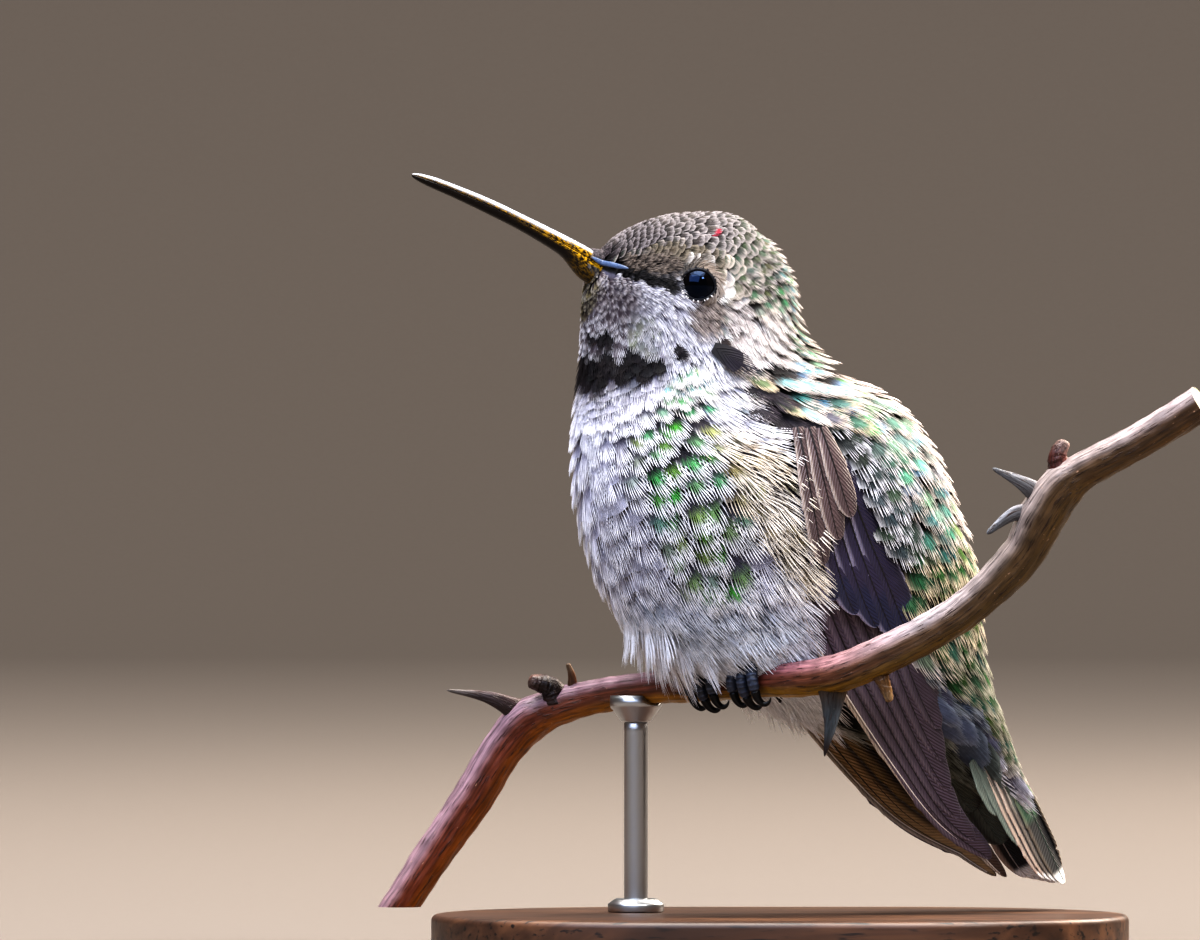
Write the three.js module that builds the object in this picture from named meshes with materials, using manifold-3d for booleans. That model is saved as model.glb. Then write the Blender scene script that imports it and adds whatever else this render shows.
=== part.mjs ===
// A life-size perched hummingbird on a cut twig, held by a plain display stand. Millimetres, +Z up.
// The origin is the centre of the stand's underside. The bird faces -X, turned a little towards -Y.
import * as THREE from "three";
import { mergeVertices } from "three/addons/utils/BufferGeometryUtils.js";
import Module from "manifold-3d";

const wasm = await Module();
wasm.setup();

// ---- Driving sizes, in millimetres and degrees ------------------------------------------------------------------

const GAP = 0.25; // clearance between neighbouring pieces
const SNUG = 0.06; // clearance inside the bill and round the claws
const BIRD = { turn: 20, x: -3 }; // how far the breast is turned towards -Y, and where the bird's frame stands
const BLADE = 0.5; // thickness of a flight feather
const SLIVER = 0.015; // faces finer than this are merged after a cut

const BASE = { length: 64, depth: 42, height: 4.2, bevel: 0.6 };
const ROD = { x: -13.2, y: 5.6, radius: 1.1, collarRadius: 2.6, collarHeight: 1.2 };
const SADDLE = { radius: 2.4, height: 2.4 };

const BILL = { root: [14.4, 63.4], tip: [32.6, 71.8], bow: 0.55, inside: 1.2, depth: 1.05, width: 1.15, taper: 0.45 };
const EYE = { x: 7.2, z: 61.8, radius: 1.85, showing: 0.8 };

const TOE_RADIUS = 0.46;
const TARSUS_RADIUS = 0.6;
const CLAW = { radius: 0.32, tip: 0.08, bend: 1.3, turn: 108 };

// The tail: its dorsal ridge from inside the coverts to the tip, and the feathers of one half under it.
const TAIL = {
  root: [-25.1, 20.6], tip: [-31.8, 7.2], slope: 44, feathers: 4, halfWidth: 1.9, spacing: 1.0,
  shortening: 0.45, splay: -1.6, layer: 0.16,
};

// The body in the bird's own frame: x forward, z up. Each station is a plane section from the front line
// (throat, breast, belly) to the back line (crown, nape, back), with its half width and where it is widest.
const STATIONS = [
  { front: [15.6, 62.0], back: [14.1, 65.1], side: 1.4, widest: 0.5 }, // base of the bill
  { front: [16.0, 60.4], back: [12.8, 66.2], side: 3.1, widest: 0.5 }, // chin and forehead
  { front: [16.1, 58.5], back: [10.1, 67.6], side: 5.0, widest: 0.52 }, // lores
  { front: [16.2, 56.2], back: [6.0, 68.5], side: 6.6, widest: 0.52 }, // throat and top of the crown
  { front: [16.4, 53.6], back: [0.7, 68.0], side: 7.4, widest: 0.5 }, // ears
  { front: [16.7, 50.6], back: [-3.6, 63.3], side: 7.8, widest: 0.5 }, // back of the head
  { front: [16.9, 47.5], back: [-5.2, 57.4], side: 8.9, widest: 0.5 }, // nape
  { front: [16.8, 44.1], back: [-9.2, 54.0], side: 10.8, widest: 0.5 }, // shoulders
  { front: [16.3, 40.5], back: [-14.2, 51.3], side: 12.4, widest: 0.5 }, // breast and upper back
  { front: [15.2, 36.6], back: [-18.0, 46.8], side: 13.0, widest: 0.5 },
  { front: [13.4, 32.7], back: [-20.2, 41.6], side: 12.7, widest: 0.5 },
  { front: [10.6, 29.2], back: [-21.9, 36.8], side: 11.7, widest: 0.5 }, // belly and lower back
  { front: [6.2, 26.4], back: [-22.7, 32.6], side: 10.2, widest: 0.5 },
  { front: [-0.8, 23.4], back: [-23.1, 28.8], side: 8.5, widest: 0.5 }, // vent and rump
  { front: [-6.8, 21.2], back: [-23.8, 25.4], side: 6.8, widest: 0.55 },
  { front: [-15.4, 19.2], back: [-24.9, 22.0], side: 5.0, widest: 0.6 },
  { front: [-22.2, 15.6], back: [-26.2, 18.6], side: 3.3, widest: 0.6 }, // tail coverts
];
const LAST = STATIONS.length - 1;
// How much the chin and throat narrow to the front, and the stations over which that ends.
const CHIN = { pinch: 0.4, full: 3, gone: 5.5 };

// The named pieces of the body: stations from and to, and the part of each section they take.
const WHOLE = "whole";
const UPPER = "upper";
const LOWER = "lower";
const BODY_PIECES = [
  { name: "head", colour: 0x7c7a68, from: 0.2, to: 5.0, part: WHOLE },
  { name: "neck", colour: 0xb3adaa, from: 5.05, to: 6.6, part: WHOLE },
  { name: "breast", colour: 0xb9b8bb, from: 6.65, to: 9.4, part: LOWER },
  { name: "belly", colour: 0xb4b4b4, from: 9.45, to: 12.6, part: LOWER },
  { name: "undertail_coverts", colour: 0xc9ccc9, from: 12.65, to: LAST, part: LOWER },
  { name: "back", colour: 0x83917f, from: 6.65, to: 10.2, part: UPPER },
  { name: "rump", colour: 0x7d8f78, from: 10.25, to: 13.4, part: UPPER },
  { name: "uppertail_coverts", colour: 0x5f7f66, from: 13.45, to: LAST, part: UPPER },
];
const SPLIT = 100; // where back meets belly, in degrees round the section from the back line
const SECTION_SIDES = 20;
const ROW_STEP = 0.55; // stations between two rows of faces

// The folded left wing lies between two edges, from the wrist to the tip, in the bird's frame.
const LEADING_EDGE = [
  [1.9, 10.8, 52.1], [1.5, 12.8, 46.5], [0.9, 13.6, 40.6], [-0.1, 13.0, 34.6], [-1.9, 11.7, 30.0],
  [-5.9, 10.0, 24.3], [-11.5, 8.0, 17.2], [-16.1, 6.0, 12.3], [-20.9, 3.8, 9.2], [-25.0, 1.4, 7.1],
];
const TRAILING_EDGE = [
  [-3.4, 10.5, 51.0], [-5.9, 11.5, 45.6], [-8.9, 11.0, 39.4], [-11.8, 10.0, 34.0], [-14.2, 8.6, 29.2],
  [-16.4, 7.3, 24.6], [-18.7, 6.1, 19.8], [-20.8, 4.9, 15.4], [-23.2, 3.2, 11.4], [-25.3, 1.5, 7.5],
];
// Each row of wing feathers: how many, where they end along the wing (outermost, innermost), how far across
// the wing they lie, half width, how far out of the wing they sit, and the step from one to the next.
const WING_ROWS = {
  primaries: { colour: 0x3a3038, count: 6, root: 0.15, ends: [1, 0.62], across: [0, 1], half: 2.2, lift: -2.3, step: 0.2 },
  secondaries: { colour: 0x34303c, count: 4, root: 0.12, ends: [0.37, 0.47], across: [0.42, 1], half: 2.2, lift: -0.65, step: 0.17 },
  coverts: { colour: 0x7a6a6c, count: 3, root: 0.09, ends: [0.3, 0.23], across: [0.3, 0.85], half: 2.2, lift: 0.55, step: 0.18 },
};
const POCKET = { root: 0.07, inner: -2.3, outer: 1.2 }; // the room the folded wing takes in the coat

// The twig's centre line and radius: [x, y, z, radius].
const TWIG = [
  [-36.3, 12.6, 2.8, 1.7], [-34.5, 12.5, 5.5, 1.7], [-31.4, 12.2, 10.1, 1.8], [-28.2, 11.9, 14.7, 1.95],
  [-25.7, 11.6, 18.8, 1.95], [-23.2, 11.0, 21.7, 2.1], [-20.2, 9.8, 23.1, 1.75], [-16.5, 7.8, 24.1, 1.6],
  [-11.9, 4.6, 24.9, 1.55], [-7.3, 0.9, 25.2, 1.55], [-1.9, -4.4, 25.7, 1.6], [1.7, -7.8, 25.9, 1.65],
  [5.3, -10.6, 26.5, 1.8], [8.9, -12.6, 28.0, 1.8], [14.3, -14.5, 30.8, 1.75], [17.8, -15.7, 33.3, 1.75],
  [21.6, -17.0, 37.3, 1.95], [23.3, -17.9, 40.5, 2.2], [25.2, -18.8, 43.4, 2.1], [27.5, -19.8, 45.1, 1.7],
  [32.2, -21.9, 47.6, 1.6], [37.6, -24.0, 51.0, 1.65],
];
const TWIG_SIDES = 10;
const TWIG_ROWS = 32;

// Thorns and buds on the twig: points from inside the wood to the tip, radius at the root and at the tip.
const SPURS = [
  { name: "perch_thorn_left", path: [[-23.4, 10.6, 22.2], [-26.6, 10.0, 23.8], [-30.7, 9.6, 24.6]], radii: [1.5, 0.14], flat: 0.5 },
  { name: "perch_bud_left", path: [[-20.6, 9.4, 23.8], [-21.3, 8.9, 25.6], [-23.2, 8.3, 26.1]], radii: [1.3, 0.3], flat: 0.9 },
  { name: "perch_scale_left", path: [[-19.0, 8.8, 24.0], [-19.1, 8.6, 25.8], [-19.5, 8.4, 27.1]], radii: [0.7, 0.2], flat: 0.6 },
  { name: "perch_thorn_under", path: [[4.6, -10.2, 25.6], [4.5, -10.6, 22.4], [3.9, -10.9, 18.9]], radii: [1.5, 0.12], flat: 0.55 },
  { name: "perch_bud_under", path: [[8.7, -12.6, 27.0], [9.4, -13.0, 25.2], [9.8, -13.2, 23.9]], radii: [0.8, 0.3], flat: 0.8 },
  { name: "perch_thorn_right", path: [[24.0, -18.2, 42.0], [21.8, -19.2, 43.6], [18.9, -20.0, 45.1]], radii: [1.7, 0.2], flat: 0.5 },
  { name: "perch_spur_right", path: [[23.0, -17.8, 40.6], [21.0, -18.8, 41.0], [18.4, -19.6, 39.2]], radii: [1.2, 0.25], flat: 0.5 },
  { name: "perch_bud_right", path: [[25.4, -18.9, 43.8], [24.8, -19.3, 46.2], [25.6, -19.4, 47.6]], radii: [1.5, 0.5], flat: 0.9 },
];
const SPUR_SIDES = 6;
const SPUR_ROWS = 4;

// Where each foot grips, as a place along the twig, and where its leg enters the belly, in the bird's frame.
const FEET = {
  left: { x: -1.9, knee: [-1.9, 3.2, 30.0] },
  right: { x: -5.7, knee: [-1.9, -3.2, 30.0] },
};
// Toes of one foot: spread along the twig, and where they start and end round it, in degrees from its top.
const TOES = [
  { name: "inner", spread: -1.3, start: 8, end: 116 },
  { name: "middle", spread: 0.05, start: 8, end: 128 },
  { name: "outer", spread: 1.4, start: 8, end: 116 },
  { name: "hind", spread: 0.2, start: -14, end: -104 },
];

const COLOUR = {
  bill: 0x1b1715, eye: 0x08080c, leg: 0x3b4452, claw: 0x0c0b0d, tail: 0x54584f,
  twig: 0x7d5a44, thorn: 0x8a8482, wood: 0x4a3122, steel: 0x8d8f92,
};

// ---- Small helpers ----------------------------------------------------------------------------------------------

const radians = THREE.MathUtils.degToRad;
const mix = THREE.MathUtils.lerp;
const smoothstep = THREE.MathUtils.smoothstep;
const vector = ([x, y, z]) => new THREE.Vector3(x, y, z);
const sagittal = ([x, z]) => new THREE.Vector3(x, 0, z);
const X_AXIS = new THREE.Vector3(1, 0, 0);
const Z_AXIS = new THREE.Vector3(0, 0, 1);
const SIDES = { left: 1, right: -1 };

/** A closed geometry over a list of rings of points, with a fan over each end, its faces turned outwards. */
function loft(rings) {
  const sides = rings[0].length;
  const points = rings.flat();
  const faces = [];
  for (let r = 0; r + 1 < rings.length; r++) {
    for (let i = 0; i < sides; i++) {
      const next = (i + 1) % sides;
      const [a, b, c, d] = [r * sides + i, r * sides + next, (r + 1) * sides + next, (r + 1) * sides + i];
      faces.push([a, b, c], [a, c, d]);
    }
  }
  for (const [ring, first, turned] of [[rings[0], 0, true], [rings.at(-1), points.length - sides, false]]) {
    const centre = points.length;
    points.push(ring.reduce((sum, p) => sum.add(p), new THREE.Vector3()).divideScalar(sides));
    for (let i = 0; i < sides; i++) {
      const [a, b] = [first + i, first + ((i + 1) % sides)];
      faces.push(turned ? [b, a, centre] : [a, b, centre]);
    }
  }
  const volume = faces.reduce((sum, [a, b, c]) => sum + points[a].dot(points[b].clone().cross(points[c])), 0);
  const outward = volume > 0 ? faces : faces.map(([a, b, c]) => [a, c, b]);
  const geometry = new THREE.BufferGeometry().setFromPoints(points);
  geometry.setIndex(outward.flat());
  return geometry;
}

/** A closed geometry as a solid for cutting and joining. */
function solidOf(geometry) {
  const bare = geometry.clone();
  bare.deleteAttribute("normal");
  bare.deleteAttribute("uv");
  const merged = mergeVertices(bare, 1e-4);
  const triVerts = new Uint32Array(merged.index.array);
  return new wasm.Manifold(new wasm.Mesh({ numProp: 3, vertProperties: merged.attributes.position.array, triVerts }));
}

/** The largest body of a solid, as a geometry, so that a cut leaves no crumbs and no slivers. */
function geometryOf(solid) {
  const bodies = solid.asOriginal().simplify(SLIVER).decompose().sort((a, b) => b.volume() - a.volume());
  const { vertProperties, triVerts } = bodies[0].getMesh();
  const geometry = new THREE.BufferGeometry();
  geometry.setAttribute("position", new THREE.BufferAttribute(new Float32Array(vertProperties), 3));
  geometry.setIndex([...triVerts]);
  return geometry;
}

/** The same geometry on the other side of the bird. */
function mirrored(geometry) {
  const copy = geometry.clone().scale(1, -1, 1);
  copy.setIndex([...copy.index.array].reverse());
  return copy;
}

/** A named mesh with its own material. */
function piece(name, geometry, colour, roughness = 0.7, metalness = 0) {
  geometry.computeVertexNormals();
  const mesh = new THREE.Mesh(geometry, new THREE.MeshStandardMaterial({ color: colour, roughness, metalness }));
  mesh.name = name;
  return mesh;
}

/** A ring round a point: one axis each way, each with its own radius. */
function ringAround(centre, across, up, halfWidth, halfHeight, sides) {
  return Array.from({ length: sides }, (_, i) => {
    const angle = (i / sides) * 2 * Math.PI;
    return centre.clone()
      .addScaledVector(across, halfWidth * Math.cos(angle))
      .addScaledVector(up, halfHeight * Math.sin(angle));
  });
}

/** A tapered round tube along a curve, untwisted. radiusAt takes the share of the way along; flat squashes it sideways. */
function taperedTube(curve, radiusAt, sides, rows, flat = 1) {
  const rings = [];
  const first = curve.getTangent(0);
  const across = new THREE.Vector3().crossVectors(first, Math.abs(first.z) > 0.9 ? X_AXIS : Z_AXIS);
  for (let r = 0; r <= rows; r++) {
    const share = r / rows;
    const along = curve.getTangent(share);
    across.addScaledVector(along, -across.dot(along)).normalize();
    const up = new THREE.Vector3().crossVectors(across, along);
    rings.push(ringAround(curve.getPoint(share), across, up, radiusAt(share) * flat, radiusAt(share), sides));
  }
  return loft(rings);
}

// ---- The body ---------------------------------------------------------------------------------------------------

const frontLine = new THREE.SplineCurve(STATIONS.map((s) => new THREE.Vector2(...s.front)));
const backLine = new THREE.SplineCurve(STATIONS.map((s) => new THREE.Vector2(...s.back)));
const fullness = new THREE.SplineCurve(STATIONS.map((s) => new THREE.Vector2(s.side, s.widest)));

/** A point on the body: a station number and an angle in degrees round the section from the back line. */
function bodyPoint(station, angle) {
  const share = station / LAST;
  const [front, back, full] = [frontLine, backLine, fullness].map((curve) => curve.getPoint(share));
  const height = Math.cos(radians(angle));
  const reach = height > 0 ? 1 - full.y : full.y;
  const level = full.y + height * reach; // 0 on the front line, 1 on the back line
  const spot = front.clone().lerp(back, level);
  const pinch = CHIN.pinch * smoothstep(-height, 0.1, 1) * (1 - smoothstep(station, CHIN.full, CHIN.gone));
  return new THREE.Vector3(spot.x, full.x * (1 - pinch) * Math.sin(radians(angle)), spot.y);
}

/** The angles of the section points of one part of the body. */
function sectionAngles(part) {
  const slack = 0.7; // degrees that leave the gap between the upper and the lower part
  const spans = { [WHOLE]: [0, 360], [UPPER]: [slack - SPLIT, SPLIT - slack], [LOWER]: [SPLIT + slack, 360 - SPLIT - slack] };
  const [start, end] = spans[part];
  const steps = Math.round((SECTION_SIDES * (end - start)) / 360);
  const count = part === WHOLE ? steps : steps + 1;
  return Array.from({ length: count }, (_, i) => mix(start, end, i / steps));
}

function bodySolid({ from, to, part }) {
  const rows = Math.max(2, Math.round((to - from) / ROW_STEP));
  const angles = sectionAngles(part);
  return solidOf(loft(Array.from({ length: rows + 1 }, (_, r) => {
    const station = mix(from, to, r / rows);
    return angles.map((angle) => bodyPoint(station, angle));
  })));
}

// ---- Feathers of the wings and the tail --------------------------------------------------------------------------

/** The share of its full width that a feather has, from root (0) to tip (1). */
function vaneShape(share) {
  const opening = Math.min(1, 0.5 + 1.2 * share);
  const rounding = share < 0.72 ? 1 : Math.sqrt(1 - 0.9 * ((share - 0.72) / 0.28) ** 2);
  return opening * rounding;
}

const BLADE_ROWS = [0, 0.28, 0.62, 0.88, 1];

/** One flight feather as a flat blade. at(share) gives { spot, outward }. */
function blade(at, halfWidth) {
  const half = BLADE / 2;
  return solidOf(loft(BLADE_ROWS.map((share) => {
    const { spot, outward } = at(share);
    const along = at(Math.min(1, share + 0.02)).spot.sub(at(Math.max(0, share - 0.02)).spot).normalize();
    const across = new THREE.Vector3().crossVectors(along, outward).normalize();
    const width = halfWidth * vaneShape(share);
    const corner = (side, level) => spot.clone().addScaledVector(across, side * width).addScaledVector(outward, level);
    return [corner(-1, -half), corner(1, -half), corner(1, half), corner(-1, half)];
  })));
}

const leadingEdge = new THREE.CatmullRomCurve3(LEADING_EDGE.map(vector), false, "catmullrom", 0.5);
const trailingEdge = new THREE.CatmullRomCurve3(TRAILING_EDGE.map(vector), false, "catmullrom", 0.5);

/** A point of the folded wing: along it from wrist (0) to tip (1), across it in millimetres from either edge. */
function wingPoint(along, across, inset, lift) {
  const [lead, trail] = [leadingEdge.getPointAt(along), trailingEdge.getPointAt(along)];
  const span = trail.clone().sub(lead);
  const width = span.length();
  const outward = new THREE.Vector3().crossVectors(span, leadingEdge.getTangentAt(along)).normalize();
  if (outward.y < 0) outward.negate();
  const taper = Math.min(1, 1.12 - along); // the layers come together towards the tip
  const margin = Math.min(inset, width / 2);
  const spot = lead.addScaledVector(span, mix(margin, width - margin, across) / width);
  return { spot: spot.addScaledVector(outward, lift * taper), outward };
}

/** The feathers of one row of the wing, joined into one solid. */
function wingRow({ count, root, ends, across, half, lift, step }) {
  const blades = Array.from({ length: count }, (_, i) => {
    const share = i / (count - 1);
    const end = mix(ends[0], ends[1], share);
    const side = mix(across[0], across[1], share);
    return blade((t) => wingPoint(mix(root, end, t), side, half * 0.85, lift + i * step), half);
  });
  return blades.reduce((joined, next) => joined.add(next));
}

/** The room a folded wing takes, which the body leaves free. */
function wingPocket() {
  const rows = 12;
  const [low, high] = [POCKET.inner - BLADE - 2 * GAP, POCKET.outer + BLADE + GAP];
  const corners = [[0, low], [1, low], [1, high], [0.5, high], [0, high]];
  return loft(Array.from({ length: rows + 1 }, (_, r) => {
    const along = mix(POCKET.root, 1, r / rows);
    return corners.map(([across, lift]) => wingPoint(along, across, -0.5 * WING_ROWS.primaries.half, lift).spot);
  }));
}

/** A box that keeps everything beyond the last section of the body, and only one side of the bird. */
function beyondBody() {
  const { front, back } = STATIONS[LAST];
  const tilt = Math.atan2(back[1] - front[1], front[0] - back[0]);
  const box = new THREE.BoxGeometry(40, 20, 40).translate(0, 10 + GAP / 2, -20 - GAP);
  return box.rotateY(tilt).translate((front[0] + back[0]) / 2, 0, (front[1] + back[1]) / 2);
}

/** One half of the tail: feathers fanned under each other from the middle pair out to the edge. */
function tailHalf() {
  const ridge = sagittal(TAIL.tip).sub(sagittal(TAIL.root));
  const length = ridge.length();
  ridge.normalize();
  const sideways = new THREE.Vector3(0, 1, 0).applyAxisAngle(ridge, radians(TAIL.slope));
  if (sideways.x < 0) sideways.applyAxisAngle(ridge, radians(-2 * TAIL.slope));
  const outward = new THREE.Vector3().crossVectors(ridge, sideways).normalize();
  if (outward.x > 0) outward.negate();
  const feathers = Array.from({ length: TAIL.feathers }, (_, i) => {
    const direction = ridge.clone().multiplyScalar(Math.cos(radians(TAIL.splay * i)));
    direction.addScaledVector(sideways, Math.sin(radians(TAIL.splay * i)));
    const start = sagittal(TAIL.root)
      .addScaledVector(sideways, TAIL.halfWidth * 0.75 + TAIL.spacing * i)
      .addScaledVector(outward, -TAIL.layer * i);
    const reach = length - i * TAIL.shortening;
    return blade((t) => ({ spot: start.clone().addScaledVector(direction, reach * t), outward: outward.clone() }), TAIL.halfWidth);
  });
  return feathers.reduce((fan, next) => fan.add(next)).intersect(solidOf(beyondBody()));
}

// ---- Bill and eyes ------------------------------------------------------------------------------------------------

const billAxis = sagittal(BILL.tip).sub(sagittal(BILL.root));
const billLength = billAxis.length();
billAxis.normalize();
const billUp = new THREE.Vector3(-billAxis.z, 0, billAxis.x);

/** How thick the bill is: swollen at the base, even along its middle, then pointed. */
function billTaper(share) {
  const swelling = mix(1, 0.64, smoothstep(share, -0.05, 0.5));
  const point = share < 0.86 ? 1 : Math.sqrt(Math.max(0.02, 1 - ((share - 0.86) / 0.14) ** 2));
  return swelling * mix(1, BILL.taper / 0.64, smoothstep(share, 0.5, 1)) * point;
}

const BILL_ROWS = [0, 0.12, 0.3, 0.5, 0.7, 0.86, 0.95, 1];

/** One mandible, the upper (side 1) or the lower (side -1), meeting the other on a flat plane. */
function mandible(side) {
  return loft(BILL_ROWS.map((row) => {
    const distance = mix(-BILL.inside, billLength, row);
    const share = distance / billLength;
    const bow = 4 * BILL.bow * Math.max(0, share) * (1 - share);
    const thick = billTaper(share);
    const centre = sagittal(BILL.root).addScaledVector(billAxis, distance).addScaledVector(billUp, bow + (side * SNUG) / 2);
    return Array.from({ length: 7 }, (_, i) => {
      const angle = Math.PI * (i / 6);
      return centre.clone()
        .addScaledVector(new THREE.Vector3(0, 1, 0), BILL.width * thick * Math.cos(angle))
        .addScaledVector(billUp, side * BILL.depth * thick * Math.sin(angle));
    });
  }));
}

/** The room the bill takes in the head. */
function billSocket() {
  const [start, end] = [sagittal(BILL.root), sagittal(BILL.root)].map((spot, i) => spot.addScaledVector(billAxis, i ? 5 : -BILL.inside - GAP));
  const radius = Math.max(BILL.depth, BILL.width) + GAP;
  const level = new THREE.Vector3(0, 1, 0);
  return loft([start, end].map((spot) => ringAround(spot, level, billUp, radius, radius, 8)));
}

/** The centre of an eyeball on the side given (1 left, -1 right), sunk so that only its front shows. */
function eyeCentre(side) {
  let [reach, miss] = [0, Infinity];
  for (let station = 2; station < 5; station += 0.02) {
    for (let angle = 40; angle < 140; angle += 1) {
      const spot = bodyPoint(station, angle);
      const distance = Math.hypot(spot.x - EYE.x, spot.z - EYE.z);
      if (distance < miss) [reach, miss] = [spot.y, distance];
    }
  }
  return new THREE.Vector3(EYE.x, side * (reach + EYE.showing - EYE.radius), EYE.z);
}

const eyeball = (grow = 0) => new THREE.SphereGeometry(EYE.radius + grow, 12, 8);

// ---- Twig, feet and stand -----------------------------------------------------------------------------------------

const twigCurve = new THREE.CatmullRomCurve3(TWIG.map(([x, y, z]) => new THREE.Vector3(x, y, z)), false, "catmullrom", 0.5);

function twigRadius(share) {
  const place = share * (TWIG.length - 1);
  const index = Math.min(TWIG.length - 2, Math.floor(place));
  return mix(TWIG[index][3], TWIG[index + 1][3], smoothstep(place - index, 0, 1));
}

function twigSolid(grow = 0) {
  const tube = solidOf(taperedTube(twigCurve, (share) => twigRadius(share) + grow, TWIG_SIDES, TWIG_ROWS));
  const above = new THREE.BoxGeometry(120, 120, 100).translate(0, 0, 50 + BASE.height + GAP - grow);
  return tube.intersect(solidOf(above));
}

/** The share of the way along the twig at which it reaches a given x. */
function twigShareAt(x) {
  let [low, high] = [0, 1];
  while (high - low > 1e-5) {
    const middle = (low + high) / 2;
    if (twigCurve.getPoint(middle).x < x) low = middle;
    else high = middle;
  }
  return low;
}

/** The twig's frame at a foot: its centre, its direction, up, and forward as the bird faces. */
function gripFrame(x) {
  const along = twigShareAt(x);
  const axis = twigCurve.getTangent(along);
  const forward = new THREE.Vector3().crossVectors(axis, Z_AXIS).normalize();
  if (forward.x > 0) forward.negate();
  const up = new THREE.Vector3().crossVectors(forward, axis).normalize();
  if (up.z < 0) up.negate();
  return { centre: twigCurve.getPoint(along), axis, forward, up, radius: twigRadius(along) };
}

/** A point beside the twig at a foot: how far along it, the angle round it from its top, and how far off its axis. */
function beside(frame, spread, angle, distance) {
  return frame.centre.clone()
    .addScaledVector(frame.axis, spread)
    .addScaledVector(frame.up, distance * Math.cos(radians(angle)))
    .addScaledVector(frame.forward, distance * Math.sin(radians(angle)));
}

function toePath(frame, { spread, start, end }) {
  const points = Array.from({ length: 7 }, (_, i) => {
    const share = i / 6;
    const distance = frame.radius + TOE_RADIUS + GAP;
    return beside(frame, spread * Math.min(1, 0.25 + share), mix(start, end, share), distance);
  });
  return new THREE.CatmullRomCurve3(points);
}

function toe(frame, sizes) {
  const radiusAt = (share) => mix(TOE_RADIUS * 1.1, TOE_RADIUS * 0.85, share);
  return solidOf(taperedTube(toePath(frame, sizes), radiusAt, 5, 4));
}

/** The claw of a toe: a hook that leaves the toe's end and curls back under the twig. */
function claw(frame, sizes) {
  const path = toePath(frame, sizes);
  const [tip, along] = [path.getPoint(1), path.getTangent(1)];
  const inward = frame.centre.clone().addScaledVector(frame.axis, sizes.spread).sub(tip).normalize();
  const points = Array.from({ length: 6 }, (_, i) => {
    const angle = radians((CLAW.turn * i) / 5);
    return tip.clone()
      .addScaledVector(along, SNUG + CLAW.bend * Math.sin(angle))
      .addScaledVector(inward, 0.55 * CLAW.bend * (1 - Math.cos(angle)));
  });
  const radiusAt = (share) => mix(CLAW.radius, CLAW.tip, share);
  return solidOf(taperedTube(new THREE.CatmullRomCurve3(points), radiusAt, 5, 4));
}

/** The leg of a foot as a tube from the top of the foot up into the belly. */
function shank(heel, knee, grow = 0) {
  const rise = knee.clone().sub(heel).normalize();
  const start = heel.clone().addScaledVector(rise, TARSUS_RADIUS * 1.15 + 0.2 - grow);
  const path = new THREE.CatmullRomCurve3([start, start.clone().lerp(knee, 0.5), knee.clone().addScaledVector(rise, grow)]);
  return taperedTube(path, (share) => mix(TARSUS_RADIUS, TARSUS_RADIUS * 1.25, share) + grow, 7, 2);
}

/** The room a foot takes round the twig: a short drum about the twig that holds the toes and the claws. */
function footRoom(frame) {
  const spread = Math.max(...TOES.map((sizes) => Math.abs(sizes.spread))) + TOE_RADIUS + GAP;
  const radius = frame.radius + 2 * TOE_RADIUS + 3 * GAP;
  const ends = [-spread, spread].map((along) => frame.centre.clone().addScaledVector(frame.axis, along));
  return solidOf(loft(ends.map((spot) => ringAround(spot, frame.forward, frame.up, radius, radius, 12))));
}

function footAndLeg(side) {
  const frame = gripFrame(FEET[side].x);
  const knee = bird.localToWorld(vector(FEET[side].knee));
  const heel = beside(frame, 0, -6, frame.radius + TARSUS_RADIUS + GAP);
  const pad = solidOf(new THREE.SphereGeometry(TARSUS_RADIUS * 1.15, 8, 5).translate(heel.x, heel.y, heel.z));
  const toes = TOES.map((sizes) => toe(frame, sizes));
  const foot = toes.reduce((joined, next) => joined.add(next), pad).subtract(twigSolid(GAP / 2));
  const claws = TOES.map((sizes) => ({ name: sizes.name, solid: claw(frame, sizes).subtract(foot).subtract(twigSolid(SNUG)) }));
  const room = footRoom(frame).add(solidOf(shank(heel, knee, GAP)));
  return { foot, leg: shank(heel, knee), claws, room };
}

function standBase() {
  const [half, round] = [BASE.length / 2 - BASE.bevel, BASE.depth / 2 - BASE.bevel];
  const outline = new THREE.Shape();
  outline.absarc(half - round, 0, round, -Math.PI / 2, Math.PI / 2);
  outline.absarc(round - half, 0, round, Math.PI / 2, 1.5 * Math.PI);
  outline.closePath();
  const bevel = { bevelEnabled: true, bevelThickness: BASE.bevel, bevelSize: BASE.bevel, bevelSegments: 1 };
  const slab = new THREE.ExtrudeGeometry(outline, { depth: BASE.height - 2 * BASE.bevel, curveSegments: 10, ...bevel });
  return slab.translate(0, 0, BASE.bevel);
}

/** A turned piece from a profile of [radius, height] points, standing at a place. */
function turned(profile, x, y, z, sides = 14) {
  const lathe = new THREE.LatheGeometry(profile.map(([r, h]) => new THREE.Vector2(r, h)), sides);
  return lathe.rotateX(Math.PI / 2).translate(x, y, z);
}

// ---- Put together ---------------------------------------------------------------------------------------------------

const hummingbird = new THREE.Group();
const bird = new THREE.Group();
bird.rotation.z = Math.PI + radians(BIRD.turn);
bird.position.x = BIRD.x;
hummingbird.add(bird);
hummingbird.updateMatrixWorld(true);
const toBird = bird.matrixWorld.clone().invert();

/** A solid in the stand's frame as the same solid in the bird's frame. */
const inBirdFrame = (solid) => solidOf(geometryOf(solid).applyMatrix4(toBird));

const twig = twigSolid();
const feet = { left: footAndLeg("left"), right: footAndLeg("right") };

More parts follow.
